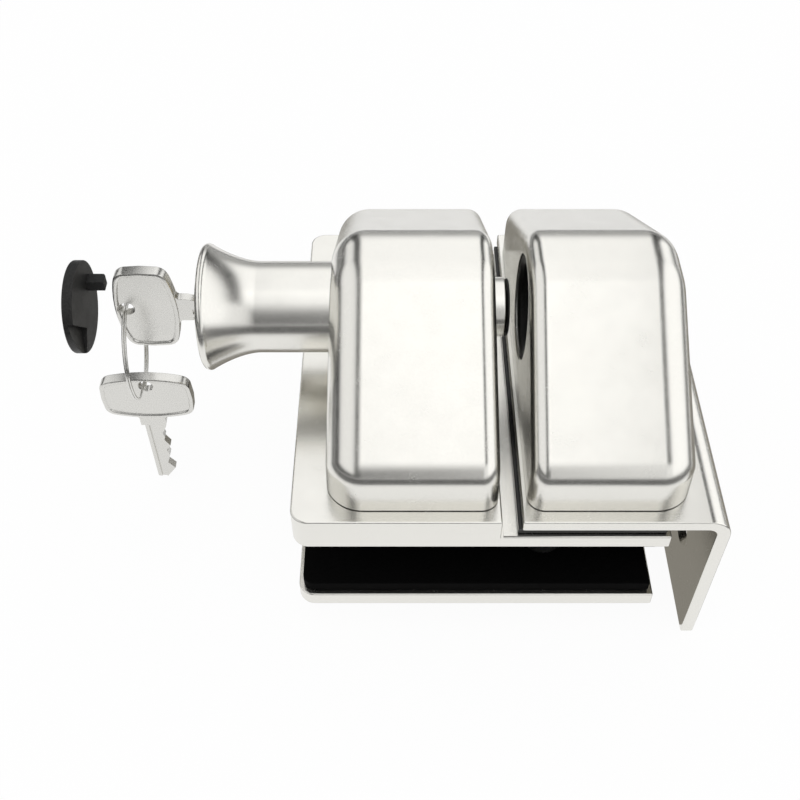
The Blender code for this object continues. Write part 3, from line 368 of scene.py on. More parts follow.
def filleted(points, radii, steps):
    """Round the corners of a closed outline, each to its own radius; 0 leaves a corner as it is."""
    outline = []
    for index, (point, radius) in enumerate(zip(points, radii)):
        corner = Vector((*point, 0))
        if radius == 0:
            outline.append((corner.x, corner.y))
            continue
        before = (Vector((*points[index - 1], 0)) - corner).normalized()
        after = (Vector((*points[(index + 1) % len(points)], 0)) - corner).normalized()
        half = before.angle(after) / 2
        centre = corner + (before + after).normalized() * radius / math.sin(half)
        start = (corner + before * radius / math.tan(half) - centre).normalized()
        end = (corner + after * radius / math.tan(half) - centre).normalized()
        for step in range(steps + 1):
            spot = centre + start.slerp(end, step / steps).normalized() * radius
            outline.append((spot.x, spot.y))
    return outline


def arc(centre, radius, start, end, steps):
    """Points of an arc, from one angle to the other in degrees."""
    turns = [math.radians(start + (end - start) * step / steps) for step in range(steps + 1)]
    return [(centre[0] + radius * math.cos(turn), centre[1] + radius * math.sin(turn)) for turn in turns]


def rounded_mouth(face, radius, inwards):
    """Start of a hole cutter's profile, with a rounded lip where the hole opens in a face."""
    points = [(face - inwards * OVERCUT, 0), (face - inwards * OVERCUT, radius + HOLE_ROUND + OVERCUT)]
    for step in range(BEVEL_STEPS + 2):
        turn = math.pi / 2 * step / (BEVEL_STEPS + 1)
        points.append((face + inwards * HOLE_ROUND * math.sin(turn),
                       radius + HOLE_ROUND * (1 - math.sin(turn))))
    return points


def sink_profile(head_radius, shank_radius, length):
    """Countersunk hole, whose cone runs on out of the face."""
    return [(-OVERCUT, 0), (-OVERCUT, head_radius + OVERCUT), (head_radius - shank_radius, shank_radius),
            (length, shank_radius), (length, 0)]


def ends():
    """Names and signs of the two ends of what is symmetric across the bolt."""
    return (("front", -1), ("rear", 1))


def plate_outline(low, high, inset=0.0):
    """Plan of a gate plate, with its two corners on the gate side rounded."""
    points = [(high.x - inset, low.y + inset), (high.x - inset, high.y - inset),
              (low.x + inset, high.y - inset), (low.x + inset, low.y + inset)]
    corner = PLAN_CORNER - inset
    return filleted(points, (0, 0, corner, corner), FILLET_STEPS)


def base_plate(looks):
    far = BASE_HIGH.y * 2
    plate = link("base_plate_finish", prism(plate_outline(BASE_LOW, BASE_HIGH), BASE_LOW.z, BASE_HIGH.z))
    combine(plate, block((STEP_X, -far, TONGUE_TOP), (far, far, BASE_HIGH.z + OVERCUT)))
    soften(plate, PLATE_BREAK)
    combine(plate, block((STEP_X, -far, TONGUE_TOP - STEP_RELIEF / 2),
                         (STEP_X + STEP_RELIEF, far, TONGUE_TOP + STEP_RELIEF)))
    middle = (LATCH_LOW.x + LATCH_HIGH.x) / 2
    sink = sink_profile(HOUSING_HEAD_RADIUS + SEAT, HOUSING_SHANK_RADIUS + SEAT, BASE_HIGH.z)
    for _, side in ends():
        combine(plate, rod(BASE_LOW.z - OVERCUT, TONGUE_TOP - SEAT, CLAMP_SHANK_RADIUS + SEAT, SIDES, "Z",
                           (CLAMP_SCREW[0], side * CLAMP_SCREW[1], 0)))
        combine(plate, turned(sink, SIDES, "Z", (middle, side * HOUSING_SCREW_Y, BASE_LOW.z)))
    settle(plate, ["base_plate"], "fixed_halves", looks["satin_steel"])


def clamp_plate(looks):
    plate = link("clamp_plate_finish", prism(plate_outline(CLAMP_LOW, CLAMP_HIGH), CLAMP_LOW.z, CLAMP_HIGH.z))
    soften(plate, PLATE_BREAK)
    sink = sink_profile(CLAMP_HEAD_RADIUS + SEAT, CLAMP_SHANK_RADIUS + SEAT,
                        CLAMP_HIGH.z - CLAMP_LOW.z + OVERCUT)
    for _, side in ends():
        combine(plate, turned(sink, SIDES, "Z", (CLAMP_SCREW[0], side * CLAMP_SCREW[1], CLAMP_LOW.z)))
    settle(plate, ["clamp_plate"], "fixed_halves", looks["satin_steel"])


def rubber_pads(looks):
    for name in ("base_gasket", "clamp_gasket"):
        low, high = node_box(name)
        inset = low.x - BASE_LOW.x
        pad = link(name + "_finish", prism(plate_outline(BASE_LOW, BASE_HIGH, inset), low.z, high.z))
        soften(pad, RUBBER_EDGE)
        sleeve_low, sleeve_high = node_box("screw_sleeve_front")
        hole = (sleeve_high.x - sleeve_low.x) / 2 + SEAT
        for _, side in ends():
            combine(pad, rod(low.z - OVERCUT, high.z + OVERCUT, hole, SIDES, "Z",
                             (CLAMP_SCREW[0], side * CLAMP_SCREW[1], 0)))
        settle(pad, [name], "fixed_halves", looks["gasket_rubber"])
    strip = link("buffer_strip_finish", block(STRIP_LOW, STRIP_HIGH))
    soften(strip, RUBBER_EDGE)
    settle(strip, ["buffer_strip"], "fixed_halves", looks["buffer_rubber"])


def keeper_bracket(looks):
    inner = BRACKET_HIGH.x - BRACKET_GAUGE
    shelf = BRACKET_HIGH.z - BRACKET_GAUGE
    left, right = BRACKET_LOW.x, BRACKET_HIGH.x
    bottom, top = BRACKET_LOW.z, BRACKET_HIGH.z
    points = [(left, top), (right, top), (right, bottom), (inner, bottom), (inner, shelf), (left, shelf)]
    outline = filleted(points, (0, BRACKET_BEND, 0, 0, BRACKET_BEND - BRACKET_GAUGE, 0), FILLET_STEPS)
    bracket = link("keeper_bracket_finish", prism(outline, BRACKET_LOW.y, BRACKET_HIGH.y, "Y"))
    soften(bracket, PLATE_BREAK)
    wall_sink = sink_profile(WALL_SINK_RADIUS, WALL_SHANK_RADIUS, BRACKET_GAUGE + OVERCUT)
    shelf_sink = sink_profile(HOUSING_HEAD_RADIUS + SEAT, HOUSING_SHANK_RADIUS + SEAT,
                              BRACKET_GAUGE + OVERCUT)
    middle = (KEEPER_LOW.x + KEEPER_HIGH.x) / 2
    for _, side in ends():
        combine(bracket, turned(wall_sink, SIDES, at=(inner, side * WALL_SCREW[0], top - WALL_SCREW[1])))
        combine(bracket, turned(shelf_sink, SIDES, "Z", (middle, side * HOUSING_SCREW_Y, shelf)))
    settle(bracket, ["keeper_bracket"], "fixed_halves", looks["satin_steel"])


def socket_screws(looks):
    """Countersunk screws, each with a rounded rim and a hexagon socket."""
    heads = (("clamp_screw_", CLAMP_HEAD_RADIUS, CLAMP_SHANK_RADIUS),
             ("keeper_screw_", HOUSING_HEAD_RADIUS, HOUSING_SHANK_RADIUS),
             ("latch_screw_", HOUSING_HEAD_RADIUS, HOUSING_SHANK_RADIUS))
    rim = SCREW_RIM
    for start, head, shank in heads:
        for end, _ in ends():
            name = start + end
            low, high = node_box(name)
            at = ((low.x + high.x) / 2, (low.y + high.y) / 2, low.z)
            length = high.z - low.z
            profile = [(0, 0), (0, head - rim), (rim / 2, head - rim / 4), (rim, head - rim),
                       (head - shank, shank), (length - rim, shank), (length, shank - rim), (length, 0)]
            screw = link(name + "_finish", turned(profile, SIDES, "Z", at))
            socket = [(shank * math.cos(side * math.pi / 3), shank * math.sin(side * math.pi / 3))
                      for side in range(6)]
            combine(screw, prism(socket, -OVERCUT, head - shank, at=at))
            settle(screw, [name], "fixed_halves", looks["screw_steel"])


def sleeves(looks):
    for end, _ in ends():
        name = "screw_sleeve_" + end
        low, high = node_box(name)
        radius = (high.x - low.x) / 2
        inner = CLAMP_SHANK_RADIUS + SEAT
        edge = SLEEVE_EDGE
        profile = [(low.z, inner), (low.z, radius - edge), (low.z + edge, radius), (high.z - edge, radius),
                   (high.z, radius - edge), (high.z, inner)]
        at = ((low.x + high.x) / 2, (low.y + high.y) / 2, 0)
        sleeve = link(name + "_finish", turned(profile, SIDES, "Z", at))
        settle(sleeve, [name], "fixed_halves", looks["black_plastic"])


def gable_outline(inset, base, half_width, height):
    """Section of a housing across the bolt, drawn inwards by inset: end walls, slopes and crest."""
    half = half_width - inset
    pitch = math.atan2(height - WALL_HEIGHT, half_width - CREST_HALF_WIDTH)
    shoulder = WALL_HEIGHT - inset / math.cos(pitch) + inset * math.tan(pitch)
    crest = CREST_HALF_WIDTH - inset * math.tan(pitch / 2)
    top = height - inset
    points = [(-half, base), (-half, shoulder), (-crest, top), (crest, top), (half, shoulder), (half, base)]
    outer = max(SHOULDER_RADIUS - inset, LEAST_RADIUS)
    inner = max(CREST_RADIUS - inset, LEAST_RADIUS)
    return filleted(points, (0, outer, inner, inner, outer, 0), FILLET_STEPS)


def housing_slices(left, right, left_fillet, right_fillet, wall):
    """Places along the bolt, each with how far the section is drawn in to round the two faces."""
    slices = []
    for face, sign, fillet in ((left, 1, left_fillet), (right, -1, right_fillet)):
        radius = max(fillet - wall, LEAST_RADIUS)
        rounded = []
        for step in range(FILLET_STEPS + 1):
            turn = math.pi / 2 * step / FILLET_STEPS
            rounded.append((face + sign * (wall + radius * (1 - math.cos(turn))),
                            wall + radius * (1 - math.sin(turn))))
        slices += rounded if sign == 1 else rounded[::-1]
    return slices


def housing_form(low, high, fillets, wall, base):
    """Loft of the gable section from face to face, with the draft of a casting."""
    middle = (low.x + high.x) / 2
    bm = bmesh.new()
    rings = []
    for x, inset in housing_slices(low.x, high.x, *fillets, wall):
        outline = gable_outline(inset, base, high.y, high.z - low.z)
        rings.append([bm.verts.new((middle + (x - middle) * (1 - DRAFT * z), y, z + low.z))
                      for y, z in outline])
    for near, far in zip(rings, rings[1:]):
        for index in range(len(near)):
            bm.faces.new((near[index - 1], near[index], far[index], far[index - 1]))
    bm.faces.new(rings[0])
    bm.faces.new(rings[-1][::-1])
    return bm


def housing(name, low, high, fillets, collars):
    """Cast shell, open below, with the posts and collars that stand inside it."""
    shell = link(name, housing_form(low, high, fillets, 0, 0))
    cavity = housing_form(low, high, fillets, SHELL, -OVERCUT)
    room = link("room", cavity)
    middle = (low.x + high.x) / 2
    for _, side in ends():
        combine(room, rod(low.z - 2 * OVERCUT, high.z + OVERCUT, POST_RADIUS, SMALL_SIDES, "Z",
                          (middle, side * HOUSING_SCREW_Y, 0)))
    for left, right, radius in collars:
        combine(room, rod(left, right, radius, SIDES, at=AXIS))
    hollow = bmesh.new()
    hollow.from_mesh(room.data)
    bpy.data.objects.remove(room, do_unlink=True)
    combine(shell, hollow)
    for _, side in ends():
        combine(shell, rod(low.z - OVERCUT, low.z + POST_GRIP + SEAT, HOUSING_SHANK_RADIUS + SEAT,
                           SMALL_SIDES, "Z", (middle, side * HOUSING_SCREW_Y, 0)))
    return shell


def latch_housing(looks):
    stop = KNOB_BUSH_HIGH.x
    collars = [(LATCH_LOW.x - OVERCUT, stop, KNOB_BUSH_RADIUS + SEAT + COLLAR_WALL),
               (BOLT_BUSH_LOW.x + 2 * SEAT, OVERCUT, BOLT_BUSH_RADIUS + SEAT + COLLAR_WALL)]
    shell = housing("latch_shell", LATCH_LOW, LATCH_HIGH, (OUTER_FILLET, INNER_FILLET), collars)
    bush = KNOB_BUSH_RADIUS + SEAT
    hole = rounded_mouth(LATCH_LOW.x, KNOB_HOLE_RADIUS, 1)
    hole += [(LATCH_LOW.x + SHELL, KNOB_HOLE_RADIUS), (LATCH_LOW.x + SHELL, bush),
             (stop + OVERCUT, bush), (stop + OVERCUT, 0)]
    combine(shell, turned(hole, FINE_SIDES, at=AXIS))
    bush = BOLT_BUSH_RADIUS + SEAT
    hole = rounded_mouth(LATCH_HIGH.x, BOLT_HOLE_RADIUS, -1)
    hole += [(BOLT_BUSH_HIGH.x + SEAT, BOLT_HOLE_RADIUS), (BOLT_BUSH_HIGH.x + SEAT, bush),
             (BOLT_BUSH_LOW.x - OVERCUT, bush), (BOLT_BUSH_LOW.x - OVERCUT, 0)]
    combine(shell, turned(hole, FINE_SIDES, at=AXIS))
    settle(shell, ["latch_housing"], "fixed_halves", looks["satin_steel"])


def keeper_housing(looks):
    _, magnet_high = node_box("keeper_magnet")
    collars = [(KEEPER_LOW.x - OVERCUT, magnet_high.x + SEAT + COLLAR_WALL, STRIKE_RADIUS + COLLAR_WALL)]
    shell = housing("keeper_shell", KEEPER_LOW, KEEPER_HIGH, (INNER_FILLET, OUTER_FILLET), collars)
    hole = rounded_mouth(KEEPER_LOW.x, STRIKE_RADIUS, 1)
    hole += [(magnet_high.x + SEAT, STRIKE_RADIUS), (magnet_high.x + SEAT, 0)]
    combine(shell, turned(hole, FINE_SIDES, at=AXIS))
    settle(shell, ["keeper_housing"], "fixed_halves", looks["satin_steel"])


def strike_cup(looks):
    radius = (CUP_HIGH.z - CUP_LOW.z) / 2
    inner = radius - CUP_WALL
    floor = CUP_HIGH.x - CUP_WALL
    profile = [(floor, 0)] + arc((floor - CUP_ROUND, inner - CUP_ROUND), CUP_ROUND, 0, 90, BEVEL_STEPS + 1)
    profile += arc((CUP_LOW.x + CUP_ROUND, inner + CUP_ROUND), CUP_ROUND, 270, 180, BEVEL_STEPS + 1)
    profile += [(CUP_LOW.x, radius), (CUP_HIGH.x, radius), (CUP_HIGH.x, 0)]
    cup = link("strike_cup_finish", turned(profile, FINE_SIDES, at=AXIS))
    settle(cup, ["strike_cup"], "fixed_halves", looks["black_plastic"])


def flare_height(share):
    """How far the knob has swollen, from 0 at the shaft to 1 at the rim."""
    return share ** FLARE_POWER


def knob_profile():
    """Outline of the tube: shaft with its ring groove, flared mouth, beaded rim, recess, bore, end wall."""
    left, right = KNOB_LOW.x, KNOB_HIGH.x
    flare = (KNOB_HIGH.z - KNOB_LOW.z) / 2
    rim = (left + RIM_RADIUS, flare - RIM_RADIUS)
    mouth = (CAP_HIGH.z - CAP_LOW.z) / 2 + SEAT
    floor = left + CAP_SINK
    lip = RIM_RADIUS / 2
    groove = KNOB_BUSH_HIGH.x + SEAT / 2
    bead = arc(rim, RIM_RADIUS, BEAD_START, 180, FILLET_STEPS)
    profile = [(right, KNOB_RADIUS - SEAT), (right - SEAT, KNOB_RADIUS),
               (groove + GROOVE_LENGTH, KNOB_RADIUS), (groove + GROOVE_LENGTH, KNOB_RADIUS - GROOVE_SINK),
               (groove, KNOB_RADIUS - GROOVE_SINK), (groove, KNOB_RADIUS)]
    for step in range(FLARE_STEPS):
        share = step / FLARE_STEPS
        profile.append((bead[0][0] + (FLARE_LENGTH + rim[0] - bead[0][0]) * (1 - share),
                        KNOB_RADIUS + (bead[0][1] - KNOB_RADIUS) * flare_height(share)))
    profile += bead
    profile += arc((left + lip, mouth + lip), lip, 180, 270, BEVEL_STEPS)
    profile += [(floor, mouth), (floor, KNOB_BORE_RADIUS), (right - KNOB_END_WALL, KNOB_BORE_RADIUS),
                (right - KNOB_END_WALL, BOLT_SCREW_RADIUS + SEAT), (right, BOLT_SCREW_RADIUS + SEAT)]
    return profile


def knob(looks):
    tube = link("knob_finish", turned(knob_profile(), FINE_SIDES, at=AXIS))
    settle(tube, ["knob"], "knob_and_bolt", looks["turned_steel"])


def latch_bolt(looks):
    head_left = BOLT_HIGH.x - BOLT_HEAD_LENGTH
    radius = (BOLT_HIGH.z - BOLT_LOW.z) / 2
    tapped = BOLT_SCREW_RADIUS + SEAT
    _, screw_high = node_box("bolt_screw")
    socket_end = screw_high.x + SEAT
    peg_hole = BOLT_PEG_RADIUS + SEAT
    peg_end = BOLT_HIGH.x - BOLT_PEG_LENGTH - SEAT
    profile = [(socket_end, 0), (socket_end, tapped), (BOLT_LOW.x, tapped), (BOLT_LOW.x, BOLT_SHANK_RADIUS),
               (head_left, BOLT_SHANK_RADIUS), (head_left, radius - SEAT), (head_left + SEAT, radius)]
    profile += arc((BOLT_HIGH.x - BOLT_EDGE, radius - BOLT_EDGE), BOLT_EDGE, 90, 0, BEVEL_STEPS + 1)
    profile += [(BOLT_HIGH.x, peg_hole), (peg_end, peg_hole), (peg_end, 0)]
    bolt = link("latch_bolt_finish", turned(profile, FINE_SIDES, at=AXIS))
    settle(bolt, ["latch_bolt"], "knob_and_bolt", looks["turned_steel"])
    low, high = node_box("bolt_face")
    disc = (high.z - low.z) / 2
    disc_left = BOLT_HIGH.x + SEAT
    edge = (high.x - disc_left) / 3
    profile = [(low.x, 0), (low.x, BOLT_PEG_RADIUS), (disc_left, BOLT_PEG_RADIUS), (disc_left, disc - edge),
               (disc_left + edge, disc), (high.x - edge, disc), (high.x, disc - edge), (high.x, 0)]
    face = link("bolt_face_finish", turned(profile, FINE_SIDES, at=AXIS))
    settle(face, ["bolt_face"], "knob_and_bolt", looks["black_plastic"])


def lock_cylinder(looks):
    """Barrel and plug of the lock, the plug with its keyway."""
    radius = (BARREL_HIGH.z - BARREL_LOW.z) / 2
    plug_lip = (PLUG_HIGH.z - PLUG_LOW.z) / 2
    play = LOCK_PLAY
    lip_end = PLUG_LOW.x + LIP_LENGTH + SEAT
    edge = LOCK_EDGE
    profile = [(BARREL_LOW.x, plug_lip + play), (BARREL_LOW.x, radius - edge), (BARREL_LOW.x + edge, radius),
               (BARREL_HIGH.x, radius), (BARREL_HIGH.x, BARREL_BORE_RADIUS), (lip_end, BARREL_BORE_RADIUS),
               (lip_end, plug_lip + play)]
    barrel = link("lock_barrel_finish", turned(profile, FINE_SIDES, at=AXIS))
    settle(barrel, ["lock_barrel"], "knob_and_bolt", looks["turned_steel"])
    body = BARREL_BORE_RADIUS - play
    hole, depth = CAM_SCREW_HOLE
    hole_end = PLUG_HIGH.x - depth
    profile = [(PLUG_LOW.x, 0), (PLUG_LOW.x, plug_lip - edge), (PLUG_LOW.x + edge, plug_lip),
               (PLUG_LOW.x + LIP_LENGTH, plug_lip), (PLUG_LOW.x + LIP_LENGTH, body), (PLUG_HIGH.x, body),
               (PLUG_HIGH.x, hole), (hole_end, hole), (hole_end, 0)]
    plug = link("lock_plug_finish", turned(profile, FINE_SIDES, at=AXIS))
    thick = BLADE_GAUGE / 2 + SEAT
    combine(plug, block((PLUG_LOW.x - OVERCUT, -thick, -BLADE_BACK - SEAT),
                        (KEY_HIGH.x + SEAT, thick, BLADE_FRONT + SEAT), AXIS))
    settle(plug, ["lock_plug"], "lock_core", looks["plug_brass"])


def knob_cap(looks):
    """Black cap with one prong and a ramped pry notch on its inner side."""
    radius = (CAP_HIGH.z - CAP_LOW.z) / 2
    left = CAP_LOW.x
    right = left + CAP_GAUGE
    profile = [(left, 0)] + arc((left + CAP_EDGE, radius - CAP_EDGE), CAP_EDGE, 180, 90, BEVEL_STEPS + 1)
    profile += arc((right - CAP_EDGE / 2, radius - CAP_EDGE / 2), CAP_EDGE / 2, 90, 0, BEVEL_STEPS)
    profile += [(right, 0)]
    cap = link("knob_cap_finish", turned(profile, FINE_SIDES, at=AXIS))
    y, z = PRONG_PLACE
    tip = CAP_HIGH.x
    near, far = y - PRONG_WIDTH / 2, y + PRONG_WIDTH / 2
    outline = [(right - CAP_EDGE, near), (tip, near), (tip, far - CAP_EDGE), (tip - CAP_EDGE, far),
               (right - CAP_EDGE, far)]
    prong = link("prong", prism(outline, AXIS_Z + z - PRONG_HEIGHT / 2, AXIS_Z + z + PRONG_HEIGHT / 2))
    soften(prong, CAP_EDGE / 3)
    shape = bmesh.new()
    shape.from_mesh(prong.data)
    bpy.data.objects.remove(prong, do_unlink=True)
    combine(cap, shape, "UNION")
    ramp = [(right - NOTCH_DEPTH, NOTCH_START), (right, radius + OVERCUT),
            (right + OVERCUT, radius + OVERCUT), (right + OVERCUT, NOTCH_START)]
    notch = prism(ramp, -radius - OVERCUT, NOTCH_END)
    notch.transform(Matrix.Translation(AXIS) @ Matrix.Rotation(math.radians(NOTCH_TURN), 4, "X"))
    combine(cap, notch)
    settle(cap, ["knob_cap"], "knob_and_bolt", looks["black_plastic"])


def bow_outline(inset):
    """Bow of the key about its own centre: two bulged long sides, blunt ends and round corners."""
    half_width = BOW_WIDTH / 2 - inset
    half_length = BOW_LENGTH / 2 - inset
    points = []
    radii = []
    for side in (1, -1):
        for step in range(BOW_STEPS + 1):
            share = side * (2 * step / BOW_STEPS - 1)
            corner = step in (0, BOW_STEPS)
            if not corner and abs(share) > 1 - 2 * BOW_CORNER / BOW_WIDTH:
                continue
            width = half_width - (BOW_END_BULGE if corner else 0)
            points.append((width * share, side * (half_length - BOW_BULGE * share ** 2)))
            radii.append(BOW_CORNER - inset if corner else 0)
        points.append((side * half_width, 0))
        radii.append(0)
    return filleted(points, radii, FILLET_STEPS)


def bow_mesh(centre):
    """Bow with a raised rim: outlines drawn in step by step up the rim and down to the recessed faces."""
    half = KEY_GAUGE / 2
    section = [(inset, -half + sink) for inset, sink in reversed(RIM_SECTION)]
    section += [(inset, half - sink) for inset, sink in RIM_SECTION]
    bm = bmesh.new()
    rings = []
    for inset, y in section:
        rings.append([bm.verts.new((centre[0] + x, y, centre[1] + z)) for x, z in bow_outline(inset)])
    for near, far in zip(rings, rings[1:]):
        for index in range(len(near)):
            bm.faces.new((near[index - 1], near[index], far[index], far[index - 1]))
    bm.faces.new(rings[0])
    bm.faces.new(rings[-1][::-1])
    return bm


def blade_outline(centre):
    """Neck with small fillets to the bow, blade and its cuts, drawn from inside the bow to the tip."""
    x = centre[0]
    edge = KEY_HOLE_INSET - BOW_LENGTH + BOW_BULGE * (NECK_WIDTH / BOW_WIDTH) ** 2
    shoulder = KEY_HOLE_INSET - BOW_LENGTH - NECK_LENGTH
    tip = KEY_HOLE_INSET - KEY_LENGTH
    back, front = x - BLADE_BACK, x + BLADE_FRONT
    left, right = x - NECK_WIDTH / 2, x + NECK_WIDTH / 2
    reach = NECK_FILLET
    outline = [(left - reach, edge + reach)]
    outline += arc((left - reach, edge - reach), reach, 90, 0, FILLET_STEPS)
    outline += [(left, shoulder), (back, shoulder), (back, tip + BLADE_TIP_FLAT / 3),
                (back + BLADE_TIP_FLAT, tip), (back + 2 * BLADE_TIP_FLAT, tip)]
    outline += [(front - depth, tip + distance) for distance, depth in BITTING]
    outline += [(right, shoulder + NECK_LENGTH / 3)]
    outline += arc((right + reach, edge - reach), reach, 180, 90, FILLET_STEPS)
    outline += [(right + reach, edge + reach)]
    return outline


def key_pattern():
    """Key about its ring hole, in millimetres, for both keys to copy."""
    centre = (-KEY_HOLE_OFFSET, KEY_HOLE_INSET - BOW_LENGTH / 2)
    key = link("key_pattern", bow_mesh(centre))
    blade = link("blade", prism(blade_outline(centre), -BLADE_GAUGE / 2, BLADE_GAUGE / 2, "Y"))
    soften(blade, BLADE_EDGE, 2)
    tip = KEY_HOLE_INSET - KEY_LENGTH
    shoulder = KEY_HOLE_INSET - BOW_LENGTH - NECK_LENGTH
    for index, side in enumerate((-1, -1, 1)):
        middle = centre[0] - KEY_GROOVE_PITCH * (1 - index / 2) + KEY_GROOVE_PITCH / 4
        low, high = sorted((side * (BLADE_GAUGE / 2 - KEY_GROOVE_DEPTH), side * (BLADE_GAUGE / 2 + OVERCUT)))
        combine(blade, block((middle - KEY_GROOVE_WIDTH / 2, low, tip - OVERCUT),
                             (middle + KEY_GROOVE_WIDTH / 2, high, shoulder)))
    shape = bmesh.new()
    shape.from_mesh(blade.data)
    bpy.data.objects.remove(blade, do_unlink=True)
    combine(key, shape, "UNION")
    floor = KEY_GAUGE / 2 - RIM_SECTION[-1][1]
    lip = KEY_HOLE_LIP
    hole = [(-floor - OVERCUT, 0), (-floor - OVERCUT, KEY_HOLE_RADIUS + OVERCUT + lip),
            (-floor + lip, KEY_HOLE_RADIUS), (floor - lip, KEY_HOLE_RADIUS),
            (floor + OVERCUT, KEY_HOLE_RADIUS + OVERCUT + lip), (floor + OVERCUT, 0)]
    combine(key, turned(hole, SIDES, "Y"))
    return key


def keys(looks):
    pattern = key_pattern()
    lock_hole = Vector((KEY_LOW.x + KEY_HOLE_INSET, 0, AXIS_Z + KEY_HOLE_OFFSET))
    spare_hole = Vector(((SPARE_LOW.x + SPARE_HIGH.x) / 2 + KEY_HOLE_OFFSET, 0,
                         SPARE_HIGH.z - KEY_HOLE_INSET))
    laid = Matrix.Rotation(-math.pi / 2, 4, "Y")
    places = (("key_in_lock", "lock_core", Matrix.Translation(lock_hole) @ laid),
              ("spare_key", "hanging_key", Matrix.Translation(spare_hole)))
    for name, body, place in places:
        bm = bmesh.new()
        bm.from_mesh(pattern.data)
        bm.transform(place)
        settle(link(name + "_finish", bm), [name], body, looks["key_steel"])
    bpy.data.objects.remove(pattern, do_unlink=True)


def swept_wire(path, sides, radius):
    """Round wire with rounded ends on a path of (point, direction off the middle, direction along)."""
    stations = [(path[0], shift, width) for shift, width in WIRE_END]
    stations += [(item, 0, 1) for item in path]
    stations += [(path[-1], -shift, width) for shift, width in reversed(WIRE_END)]
    bm = bmesh.new()
    rings = []
    for (point, out, along), shift, width in stations:
        across = along.cross(out)
        ring = []
        for side in range(sides):
            turn = 2 * math.pi * side / sides
            spoke = radius * width * (math.cos(turn) * out + math.sin(turn) * across)
            ring.append(bm.verts.new(point + along * radius * shift + spoke))
        rings.append(ring)
    for near, far in zip(rings, rings[1:]):
        for index in range(sides):
            bm.faces.new((near[index - 1], near[index], far[index], far[index - 1]))
    bm.faces.new(rings[0])
    bm.faces.new(rings[-1][::-1])
    return bm


def coil_path(radius, degrees, steps_a_turn, distance):
    """Points of a coil about X that starts at its top; distance(degrees) gives the place along X."""
    count = round(degrees / TURN * steps_a_turn)
    points = []
    for step in range(count + 1):
        turned_by = degrees * step / count
        out = Vector((0, math.sin(math.radians(turned_by)), math.cos(math.radians(turned_by))))
        points.append((Vector((distance(turned_by), 0, 0)) + out * radius, out))
    path = []
    for index, (point, out) in enumerate(points):
        ahead = points[min(index + 1, count)][0] - points[max(index - 1, 0)][0]
        path.append((point, out, (ahead - ahead.dot(out) * out).normalized()))
    return path


def key_ring(looks):
    """Split ring of two turns side by side, with one crossing, set a little askew through the keys' holes."""
    def distance(turned_by):
        crossed = min(max((turned_by - (TURN - RING_CROSSING)) / RING_CROSSING, 0), 1)
        return RING_TURN_OFFSET * (2 * crossed * crossed * (3 - 2 * crossed) - 1)

    middle = (RING_LOW + RING_HIGH) / 2
    radius = (RING_HIGH.z - RING_LOW.z) / 2 - RING_WIRE_RADIUS
    path = coil_path(radius, 2 * TURN - RING_OVERLAP, RING_STEPS, distance)
    bm = swept_wire(path, RING_WIRE_SIDES, RING_WIRE_RADIUS)
    bm.transform(Matrix.Rotation(math.radians(RING_START), 4, "X"))
    bm.transform(Matrix.Rotation(math.radians(RING_YAW), 4, "Z"))
    bm.transform(Matrix.Translation(middle + Vector((RING_SHIFT, 0, 0))))
    settle(link("key_ring_finish", bm), ["key_ring"], "ring", looks["ring_steel"])


def return_spring(looks):
    """Return spring, drawn as one fixed coil; the real spring closes up as the bolt is thrown."""
    left = SPRING_LOW.x + SPRING_WIRE_RADIUS
    right = SPRING_HIGH.x - SPRING_WIRE_RADIUS
    degrees = TURN * SPRING_TURNS
    radius = (SPRING_HIGH.z - SPRING_LOW.z) / 2 - SPRING_WIRE_RADIUS

    def distance(turned_by):
        return left + (right - left) * turned_by / degrees

    path = coil_path(radius, degrees, SPRING_STEPS, distance)
    bm = swept_wire(path, SPRING_WIRE_SIDES, SPRING_WIRE_RADIUS)
    bm.transform(Matrix.Translation(AXIS))
    spring = link("return_spring_finish", bm)
    settle(spring, ["return_spring"], "fixed_halves", looks["ring_steel"])
    apply_modifiers(spring)
    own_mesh(spring)


def node(tree, kind, sockets=None, **settings):
    """Node with its sockets and settings filled in."""
    made = tree.nodes.new(kind)
    for name, value in settings.items():
        setattr(made, name, value)
    for name, value in (sockets or {}).items():
        made.inputs[name].default_value = value
    return made


def wire(tree, source, socket, target, name):
    tree.links.new(source.outputs[socket], target.inputs[name])


def blank_material(name, sockets):
    """Material with one Principled shader, whose even values are set on its own sockets."""
    made = bpy.data.materials.new(name + "_look")
    made.use_nodes = True
    shader = made.node_tree.nodes["Principled BSDF"]
    for socket, value in sockets.items():
        shader.inputs[socket].default_value = value
    return made, made.node_tree, shader


def noise_on(tree, coordinates, scale, detail, stretch):
    """Noise over the piece's own metres, stretched where the finish has a direction."""
    mapping = node(tree, "ShaderNodeMapping", {"Scale": stretch})
    wire(tree, coordinates, "Object", mapping, "Vector")
    noise = node(tree, "ShaderNodeTexNoise", {"Scale": scale, "Detail": detail, "Roughness": NOISE_ROUGHNESS})
    wire(tree, mapping, "Vector", noise, "Vector")
    return noise


def ranged(tree, noise, low, high):
    """Map the middle of a noise onto a range."""
    made = node(tree, "ShaderNodeMapRange", {"From Min": NOISE_MIDDLE[0], "From Max": NOISE_MIDDLE[1],
                                             "To Min": low, "To Max": high})
    wire(tree, noise, "Fac", made, "Value")
    return made


